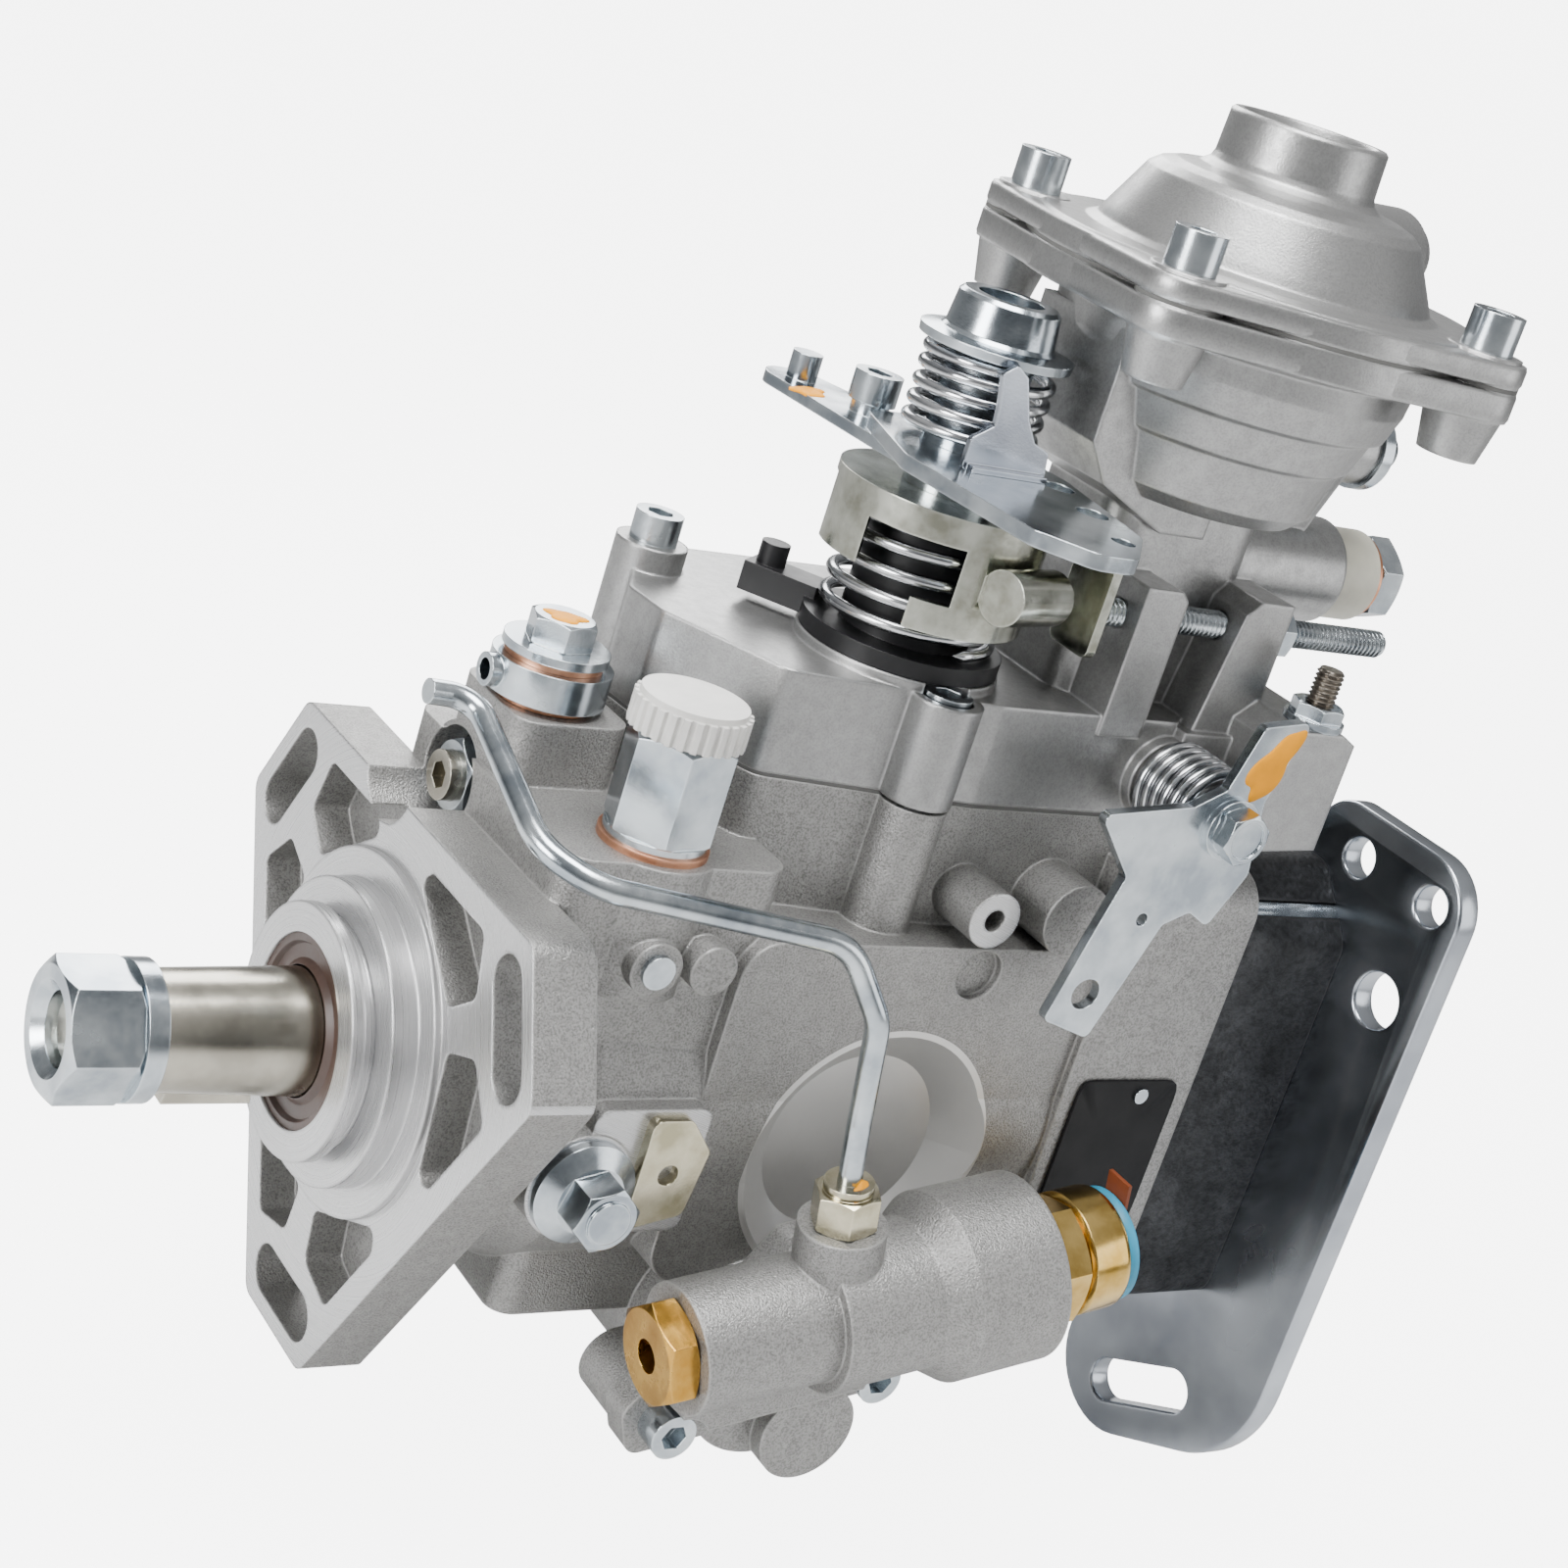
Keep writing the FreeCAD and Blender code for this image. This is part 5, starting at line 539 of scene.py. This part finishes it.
def closed_grid(points):
    """Points of a (rows, columns, 3) grid and their quads, with a fan at each open end.

    Rows run along the piece and columns go round it, anticlockwise seen from its end."""
    rows, columns = points.shape[:2]
    index = np.arange(rows * columns).reshape(rows, columns)
    beside = np.roll(index, -1, axis=1)
    quads = np.stack([index[:-1], beside[:-1], beside[1:], index[1:]], axis=-1).reshape(-1, 4)
    ends = np.stack([points[0].mean(axis=0), points[-1].mean(axis=0)])
    first, last = rows * columns, rows * columns + 1
    near = np.stack([np.full(columns, first), beside[0], index[0]], axis=-1)
    far = np.stack([np.full(columns, last), index[-1], beside[-1]], axis=-1)
    verts = np.concatenate([points.reshape(-1, 3), ends])
    return verts, [quads, near, far]


def make_piece(name, grids, finish, body, sharp=40, shape=closed_grid):
    """One object from several closed grids in millimetres, with its finish and body."""
    verts, corners, starts, sizes, kinds = [], [], [], [], []
    base, place = 0, 0
    for kind, grid in enumerate(grids):
        points, face_sets = shape(grid)
        verts.append(points)
        for faces in face_sets:
            corners.append(faces.reshape(-1) + base)
            starts.append(place + np.arange(len(faces)) * faces.shape[1])
            sizes.append(np.full(len(faces), faces.shape[1]))
            kinds.append(np.full(len(faces), kind))
            place += faces.size
        base += len(points)
    verts = np.concatenate(verts) * MM
    corners = np.concatenate(corners)
    starts = np.concatenate(starts)
    mesh = bpy.data.meshes.new(name)
    mesh.vertices.add(len(verts))
    mesh.vertices.foreach_set("co", verts.ravel())
    mesh.loops.add(len(corners))
    mesh.loops.foreach_set("vertex_index", corners)
    mesh.polygons.add(len(starts))
    mesh.polygons.foreach_set("loop_start", starts)
    mesh.update(calc_edges=True)
    finishes = finish if isinstance(finish, (list, tuple)) else [finish]
    for each in finishes:
        mesh.materials.append(each)
    if len(finishes) > 1:
        mesh.polygons.foreach_set("material_index", np.concatenate(kinds).astype(np.int32))
    mesh.validate()
    mesh.shade_smooth()
    mesh.set_sharp_from_angle(angle=math.radians(sharp))
    piece = bpy.data.objects.new(name, mesh)
    bpy.context.scene.collection.objects.link(piece)
    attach(piece, body)
    print(name, "has", len(starts), "faces")
    return piece


# %% [markdown]
# A real spring is round wire on a helix whose last turns lie close together, so that it stands
# square in its seat. The helix rises slowly, then evenly, then slowly again. The wire's own
# circle is carried along the helix in the plane across its tangent, and it shrinks to a rounded
# tip at both ends.


# %% Wound springs
def wound_spring(seat, direction, coil, wire, turns, length, dead=0.7):
    """Grid of a coil spring.

    At t turns the wire's centre is coil * (cos 2πt, sin 2πt) across the axis, and its rise is
    2.1 wires a turn in the dead turns and the rest of the length, evenly, between them."""
    first, second, along = frame_for(direction)
    t = np.linspace(0, turns, int(turns * 56))
    closing = 2.1 * wire
    active = np.clip((t - dead) / (turns - 2 * dead), 0, 1)
    rise = (closing * np.minimum(t, dead) + closing * np.clip(t - (turns - dead), 0, dead)
            + (length - 2 * closing * dead) * active)
    angle = 2 * np.pi * t
    outward = np.cos(angle)[:, None] * first + np.sin(angle)[:, None] * second
    centre = np.array(seat) + outward * coil + rise[:, None] * along
    tangent = np.gradient(centre, axis=0)
    tangent /= np.linalg.norm(tangent, axis=1)[:, None]
    across = np.cross(tangent, outward)
    reach = np.minimum(t, turns - t) * 2 * np.pi * coil / wire
    radius = wire * np.sqrt(np.clip(1 - (1 - np.clip(reach, 0, 1)) ** 2, 0.002, 1))
    round_wire = np.linspace(0, 2 * np.pi, 16, endpoint=False)
    circle = (np.cos(round_wire)[None, :, None] * outward[:, None, :]
              + np.sin(round_wire)[None, :, None] * across[:, None, :])
    return centre[:, None, :] + circle * radius[:, None, None]


LEVER_X, LEVER_Y = 90, -10
# Node replaced, new piece, body, then wound_spring's seat, way, coil, wire, turns and length.
SPRINGS = [
    ("return_spring", "throttle_coil", "pump",
     (LEVER_X, LEVER_Y, 99.25), (0, 0, 1), 17.2, 1.25, 5.2, 22.95),
    ("upper_spring", "seat_coil", "throttle",
     (LEVER_X, LEVER_Y, 137.5), (0, 0, 1), 12.4, 1.2, 5, 16.6),
    ("stop_spring", "stop_coil", "pump", (147, -38, 80), (0, -1, 0), 9.2, 1.1, 6, 15.4),
]
for node, name, body, *shape in SPRINGS:
    piece = make_piece(name, [wound_spring(*shape)], spring_wire, body)
    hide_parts(node)

# %% [markdown]
# The two set screws show their threads. A screw thread is one ridge that climbs round a rod: the
# radius at each point depends only on how far that point is from the ridge, measured along the
# rod, so one formula makes every turn. Near both ends the rod is chamfered.


# %% Screw threads
def screw(start, direction, length, radius, pitch):
    """Grid of a threaded rod.

    The share of a pitch is frac(v / pitch - u / 2π); the radius is the outer radius less the
    depth times a triangle wave of that share, and never more than a 45 degree chamfer allows."""
    depth = 0.54 * pitch
    first, second, along = frame_for(direction)
    rows = int(length / pitch * 9)
    v = np.linspace(0, length, rows)[:, None]
    u = np.linspace(0, 2 * np.pi, 36, endpoint=False)[None, :]
    share = (v / pitch - u / (2 * np.pi)) % 1
    valley = np.clip(np.abs(share - 0.5) * 2.6 - 0.15, 0, 1)
    chamfer = radius - 1.15 * depth + np.minimum(v, length - v)
    reach = np.minimum(radius - depth * valley, chamfer)
    circle = np.cos(u)[..., None] * first + np.sin(u)[..., None] * second
    return np.array(start) + v[..., None] * along + reach[..., None] * circle


SET_SCREW = 2.98
set_screws = make_piece(
    "threaded_set_screws",
    [screw((118.1, -27, 112), (1, 0, 0), 84, SET_SCREW, 1.25),
     screw((173, -44, 82), (0, 0, 1), 29, SET_SCREW, 1.0)],
    [zinc, screw_steel], "pump")
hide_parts("set_screws")

# %% [markdown]
# Screws that must not be touched carry a dab of orange sealing paint. A dab is a low dome whose
# outline wanders in and out, as wet paint does. It is pressed a little into what it sits on, so
# that no gap shows.


# %% Sealing paint
def dab(middle, direction, long_way, length, width, thick, seed):
    """Grid of a paint dab.

    Round the outline the size is 1 + 0.16 sin 3u + 0.10 sin 5u; from the rim inwards the height
    follows the square root of 1 less the radius squared, with a flat, sunken underside."""
    along = np.array(direction, float) / np.linalg.norm(direction)
    first = np.array(long_way, float)
    first -= along * first.dot(along)
    first /= np.linalg.norm(first)
    second = np.cross(along, first)
    u = np.linspace(0, 2 * np.pi, 56, endpoint=False)[None, :]
    outline = 1 + 0.16 * np.sin(3 * u + seed) + 0.10 * np.sin(5 * u + 2 * seed)
    r = np.concatenate([np.linspace(0.04, 1, 9), np.sin(np.linspace(np.pi / 2, 0.04, 14))])[:, None]
    top = np.concatenate([np.full(9, -0.35), thick * np.sqrt(np.clip(1 - r[9:, 0] ** 2.6, 0, 1))])
    return (np.array(middle) + (r * outline * np.cos(u))[..., None] * first * length / 2
            + (r * outline * np.sin(u))[..., None] * second * width / 2
            + np.broadcast_to(top[:, None], (len(r), u.shape[1]))[..., None] * along)


fitting_low, fitting_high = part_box("pipe_fitting")
fitting_top = ((fitting_low.x + fitting_high.x) / 2 / MM - 0.5, fitting_low.y / MM + 2.6,
               fitting_high.z / MM - 2.4)
# New piece, body, then dab's middle, way out, long way, length, width, height and outline seed.
DABS = [
    ("paint_on_fitting", "pump", fitting_top, (0.1, -0.8, 0.55), (0.3, 0, 1), 7, 3.6, 0.7, 3),
    ("paint_on_union", "pump", (23.6, 5.2, 87.2), (0, 0, 1), (1, -0.4, 0), 8, 6.4, 0.5, 0.4),
    ("paint_on_stop_lever", "stop", (152.5, -57.4, 94), (0, -1, 0), (0.5, 0, 1), 17, 8, 0.6, 2),
    ("paint_on_idle_arm", "throttle", (77, 26, 133), (0, 0, 1), (1, 0.5, 0), 9, 6, 0.5, 1),
]
for name, body, *shape in DABS:
    make_piece(name, [dab(*shape)], orange_paint, body)

# %% [markdown]
# The flanges of the boost unit run straight from screw to screw, because their outline is a band
# pulled round a disc and four screw bosses. The support function gives such an outline: in each
# direction it is the furthest reach of any of the circles, and the outline's point follows from
# that reach and its slope. The band is a ring whose edges are rounded, laid over the solid's
# flange, with the dark edge of the diaphragm left between the two.


# %% Boost unit's flange bands
def closed_ring(points):
    """Quads of a grid that closes on itself both ways, as a torus does."""
    rows, columns = points.shape[:2]
    index = np.arange(rows * columns).reshape(rows, columns)
    below, beside = np.roll(index, -1, axis=0), np.roll(index, -1, axis=1)
    across = np.roll(below, -1, axis=1)
    quads = np.stack([index, beside, across, below], axis=-1).reshape(-1, 4)
    return points.reshape(-1, 3), [quads]


BOOST_X, BOOST_Y = 143.5, -15
BOSS_ANGLES = np.radians([48, 132, 212, 298])
BOSS_REACH = 48


def flange_band(low, high, boss=8.75, disc=46.6, inside=42.5, edge=0.9):
    """Grid of a band whose reach in direction a is h(a).

    With R the bosses' distance from the middle, h(a) = max(disc, R cos(a - boss angle) + boss).

    The outline's point is h times the direction plus h's slope times the direction across it."""
    a = np.linspace(0, 2 * np.pi, 720, endpoint=False)
    circles = BOSS_REACH * np.cos(a[None, :] - BOSS_ANGLES[:, None]) + boss
    h = np.maximum(disc, circles.max(axis=0))
    leader = np.where(circles.max(axis=0) > disc, circles.argmax(axis=0), -1)
    slope = np.where(leader < 0, 0.0, -BOSS_REACH * np.sin(a - BOSS_ANGLES[leader]))
    towards = np.stack([np.cos(a), np.sin(a)], axis=-1)
    across = np.stack([-np.sin(a), np.cos(a)], axis=-1)
    outline = h[:, None] * towards + slope[:, None] * across
    rows = []
    for offset, level in ((edge, low), (0.3 * edge, low + 0.3 * edge), (0, low + edge),
                          (0, high - edge), (0.3 * edge, high - 0.3 * edge), (edge, high)):
        rows.append(np.column_stack([outline - offset * towards, np.full(len(a), level)]))
    for level in (high, low):
        rows.append(np.column_stack([inside * towards, np.full(len(a), level)]))
    return np.stack(rows) + np.array((BOOST_X, BOOST_Y, 0))


for name, low, high in (("boost_cover_band", 177.85, 182.35),
                        ("boost_bowl_band", 170.9, 176.95)):
    make_piece(name, [flange_band(low, high)], die_cast, "pump",
               shape=closed_ring)

# %% [markdown]
# The lock nut of the governor's stud has a broad flange that closes its recess in the casting.
# It is a ring round the nut's hexagon: a profile of radius and place, turned round the stud.


# %% Lock nut's flange
def turned_ring(middle, direction, profile):
    """Grid of a ring: the profile's (radius, place along) pairs, carried round the axis."""
    first, second, along = frame_for(direction)
    u = np.linspace(0, 2 * np.pi, 72, endpoint=False)[None, :]
    radius, place = np.array(profile, float).T[:, :, None]
    return (np.array(middle) + place[..., None] * along + (radius * np.cos(u))[..., None] * first
            + (radius * np.sin(u))[..., None] * second)


nut_low, nut_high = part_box("governor_lock_nut")
nut_middle = (nut_low.x / MM + 5.5, (nut_low.y + nut_high.y) / 2 / MM,
              (nut_low.z + nut_high.z) / 2 / MM)
make_piece("lock_nut_flange", [turned_ring(nut_middle, (1, 0, 0), [
    (6.6, 0.2), (8.0, 0.0), (9.4, 0.5), (9.85, 1.1), (9.85, 3.0), (6.6, 3.0)])],
    zinc, "pump", shape=closed_ring)

# %% [markdown]
# The solenoid's case ends in a turned collar with a rounded edge, and its blue sealing ring
# closes the case's end. Both turn about the cold-start unit's leaning axis.

# %% Solenoid's collar and sealing ring
UNIT_LEAN = math.radians(11)
unit_way = (math.cos(UNIT_LEAN), 0, math.sin(UNIT_LEAN))
seal_low, seal_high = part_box("solenoid_gasket")
seal_middle = np.array((seal_low + seal_high) / 2 / MM)
make_piece("solenoid_collar", [turned_ring(seal_middle, unit_way, [
    (11.0, -11.3), (12.1, -11.3), (13.0, -10.6), (13.0, -3.2), (12.8, -2.3), (12.2, -1.6),
    (11.0, -1.6)])],
    gold_zinc, "pump", shape=closed_ring)
sealing_ring = make_piece("solenoid_seal", [turned_ring(seal_middle, unit_way, [
    (3.1, -0.68), (11.5, -0.68), (11.5, -1.5), (11.8, -1.5), (12.0, -1.2), (12.0, 0.7),
    (11.6, 1.1), (3.1, 1.1)])],
    cyan_gasket, "pump", shape=closed_ring)
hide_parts("solenoid_gasket")

# %% [markdown]
# The rear bracket is cut from thick sheet, with generous round corners and edges broken by
# tumbling. A flat curve suits a sheet with holes: its outlines are filled, thickened and bevelled
# in one step. Each corner's arc is worked out for all corners at once, then the flat plate is made
# a mesh and stood up across the shaft.


# %% Rear bracket
def rounded_outline(corners, steps=14):
    """Points round a polygon of (y, z, radius) corners.

    An arc runs between the two points where its circle touches the corner's sides; it is turned
    evenly from one to the other, as (sin((1-s)w) a + sin(sw) b) / sin w about its middle."""
    corners = np.array(corners, float)
    place, radius = corners[:, :2], corners[:, 2:]
    before = np.roll(place, 1, axis=0) - place
    after = np.roll(place, -1, axis=0) - place
    before /= np.linalg.norm(before, axis=1)[:, None]
    after /= np.linalg.norm(after, axis=1)[:, None]
    half = np.arccos(np.clip((before * after).sum(axis=1), -1, 1))[:, None] / 2
    middle_way = before + after
    middle_way /= np.linalg.norm(middle_way, axis=1)[:, None]
    middle = place + middle_way * radius / np.sin(half)
    start = place + before * radius / np.tan(half) - middle
    end = place + after * radius / np.tan(half) - middle
    swing = (np.pi - 2 * half)[:, None, :]
    s = np.linspace(0, 1, steps)[None, :, None]
    arcs = (np.sin((1 - s) * swing) * start[:, None]
            + np.sin(s * swing) * end[:, None]) / np.sin(swing)
    return (middle[:, None] + arcs).reshape(-1, 2)


def hole(y, z, radius, stretch=(0, 0), count=40):
    """A round hole, or a slot where stretch is the way from its middle to each end's centre."""
    u = np.linspace(0, 2 * np.pi, count, endpoint=False)
    side = np.sign(np.cos(u) * stretch[0] + np.sin(u) * stretch[1])
    return np.column_stack([y + radius * np.cos(u) + side * stretch[0],
                            z + radius * np.sin(u) + side * stretch[1]])


BRACKET_CORNERS = [(-9, -102, 17), (-71, -70.5, 30), (-71, 77.6, 13), (-24, 77.6, 10), (-24, 42, 6),
                   (-41, 34, 7), (-41, -24, 7), (-26, -30, 7), (-26, -46, 8), (-9, -52, 11)]
bracket_low, bracket_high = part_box("rear_bracket")
EDGE = 0.8
sheet_thick = (bracket_high.x - bracket_low.x) / MM
flat = bpy.data.curves.new("bracket_plate", "CURVE")
flat.dimensions = "2D"
flat.fill_mode = "BOTH"
flat.extrude = (sheet_thick / 2 - EDGE) * MM
flat.bevel_depth = EDGE * MM
flat.bevel_resolution = 2
flat.offset = -EDGE * MM
outlines = [rounded_outline(BRACKET_CORNERS), hole(-38.9, 67, 4.4), hole(-62, 67, 4.4),
            hole(-58, 42, 6.2), hole(-36, -73.5, 5, stretch=(10, -5.5))]
for outline in outlines:
    run = flat.splines.new("POLY")
    run.points.add(len(outline) - 1)
    padded = np.column_stack([outline * MM, np.zeros(len(outline)), np.ones(len(outline))])
    run.points.foreach_set("co", padded.ravel())
    run.use_cyclic_u = True
holder = bpy.data.objects.new("bracket_flat", flat)
sheet = bpy.data.meshes.new_from_object(holder)
bpy.data.objects.remove(holder)
lying = np.empty(len(sheet.vertices) * 3)
sheet.vertices.foreach_get("co", lying)
lying = lying.reshape(-1, 3)
standing = np.column_stack([lying[:, 2] + (bracket_low.x + bracket_high.x) / 2, lying[:, 0],
                            lying[:, 1]])
sheet.vertices.foreach_set("co", standing.ravel())
work = bmesh.new()
work.from_mesh(sheet)
bmesh.ops.remove_doubles(work, verts=work.verts, dist=0.01 * MM)
bmesh.ops.recalc_face_normals(work, faces=work.faces)
work.to_mesh(sheet)
work.free()
sheet.materials.clear()
sheet.materials.append(dark_zinc)
sheet.shade_smooth()
sheet.set_sharp_from_angle(angle=math.radians(35))
bracket_plate = bpy.data.objects.new("bracket_plate", sheet)
bpy.context.scene.collection.objects.link(bracket_plate)
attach(bracket_plate, "pump")
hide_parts("rear_bracket")
print("bracket plate has", len(sheet.polygons), "faces")

# %% [markdown]
# A black data plate is riveted to the housing's side. The real one carries printed lines; this
# one is bare. Its outline is a superellipse, which is a rectangle with rounded corners when its
# power is high, and its edge is rolled over a little.


# %% Data plate
def superellipse_plate(middle, direction, up, width, height, thick, power=12.0):
    """Grid of a thin plate: |x/a|^n + |y/b|^n = 1 going round, and a rounded edge over the rim."""
    along = np.array(direction, float)
    second = np.array(up, float)
    first = np.cross(second, along)
    u = np.linspace(0, 2 * np.pi, 96, endpoint=False)[None, :]
    reach = (np.abs(np.cos(u)) ** power + np.abs(np.sin(u)) ** power) ** (-1 / power)
    size = np.array([0.02, 0.5, 0.995, 1, 1, 0.99, 0.5, 0.02])[:, None]
    level = np.array([0, 0, 0, 0.15, 0.75, 1, 1, 1])[:, None] * thick
    return (np.array(middle) + (size * reach * np.cos(u))[..., None] * first * width / 2
            + (size * reach * np.sin(u))[..., None] * second * height / 2
            + np.broadcast_to(level, (8, u.shape[1]))[..., None] * along)


make_piece("data_plate",
           [superellipse_plate((159.5, -45.1, -3), (0, -1, 0), (0, 0, 1), 28, 36, 0.7)],
           black_coating, "pump")
rivet = superellipse_plate((163, -45.5, 11.5), (0, -1, 0), (0, 0, 1), 3.6, 3.6, 1.0, power=2.0)
make_piece("plate_rivet", [rivet], zinc, "pump")

# %% [markdown]
# Each node of the CAD model gets one finish. Screws, nuts, fittings and plain sheet parts aren't in
# the list, because clear zinc is what most of the pump's hardware wears. Nodes whose place a new
# piece has taken are dressed too, though nothing shows them.

# %% Dress the CAD nodes
FINISHES = {
    sand_cast: ("pump_housing",),
    unit_cast: ("cold_start_housing", "timer_cover"),
    die_cast: ("governor_cover", "boost_cover"),
    dark_cast: ("hydraulic_head",),
    dark_zinc: ("rear_bracket", "lever_clip"),
    ground_steel: ("drive_shaft", "shaft_key", "governor_shaft",
                   "throttle_shaft", "boost_pin", "roller_ring", "cam_plate",
                   "cross_disc", "plunger", "timer_piston", "control_collar", "governor_sleeve",
                   "vane_rotor", "vane_liner", "governor_drive_gear", "flyweight_cage",
                   "governor_lever"),
    yellow_zinc: ("lever_bracket",),
    pale_gold: ("lock_plate", "pipe_fitting"),
    gold_zinc: ("cold_start_solenoid",),
    spring_wire: ("return_spring", "stop_spring", "upper_spring"),
    brass: ("brass_plug", "shaft_bush"),
    copper: ("copper_washers",),
    white_plastic: ("inlet_cap",),
    cream_plastic: ("return_sleeve",),
    black_plastic: ("spring_cup",),
    seal_rubber: ("shaft_seal",),
    gasket_sheet: ("cover_gasket", "boost_diaphragm"),
    cyan_gasket: ("solenoid_gasket",),
    brown_plastic: ("solenoid_terminal",),
}
finish_of = {node: finish for finish, group in FINISHES.items() for node in group}
for name, node in nodes.items():
    finish = finish_of.get(name, zinc)
    node.data.materials.clear()
    node.data.materials.append(finish)
print("dressed", len(nodes), "nodes,", len(nodes) - len(finish_of), "of them in plain zinc")

# %% [markdown]
# The floor is painted board. Most of what the camera sees of it is a plain glow that joins the
# background without a horizon, and a share of ordinary paint keeps a soft shadow under the pump.
# Light that bounces off it sees only the paint.

# %% Floor finish
floor_paint, tree, shader, place = start_material("pale_floor")
fleck = noise_node(tree, place, 900.0, 2.0)
link(tree, (colour_mix(tree, fleck, (0.80, 0.80, 0.80), (0.84, 0.84, 0.84)),
            shader.inputs["Base Color"]))
shader.inputs["Roughness"].default_value = 0.9
glow = tree.nodes.new("ShaderNodeEmission")
glow.inputs["Strength"].default_value = WHITE
camera_sees = tree.nodes.new("ShaderNodeLightPath")
share = math_node(tree, "MULTIPLY", camera_sees.outputs["Is Camera Ray"], FLOOR_SHARE)
blend = tree.nodes.new("ShaderNodeMixShader")
link(tree, (share, blend.inputs[0]), (shader.outputs[0], blend.inputs[1]),
     (glow.outputs[0], blend.inputs[2]),
     (blend.outputs[0], tree.nodes["Material Output"].inputs["Surface"]))
floor.data.materials.append(floor_paint)
print("floor finish:", floor_paint.name)
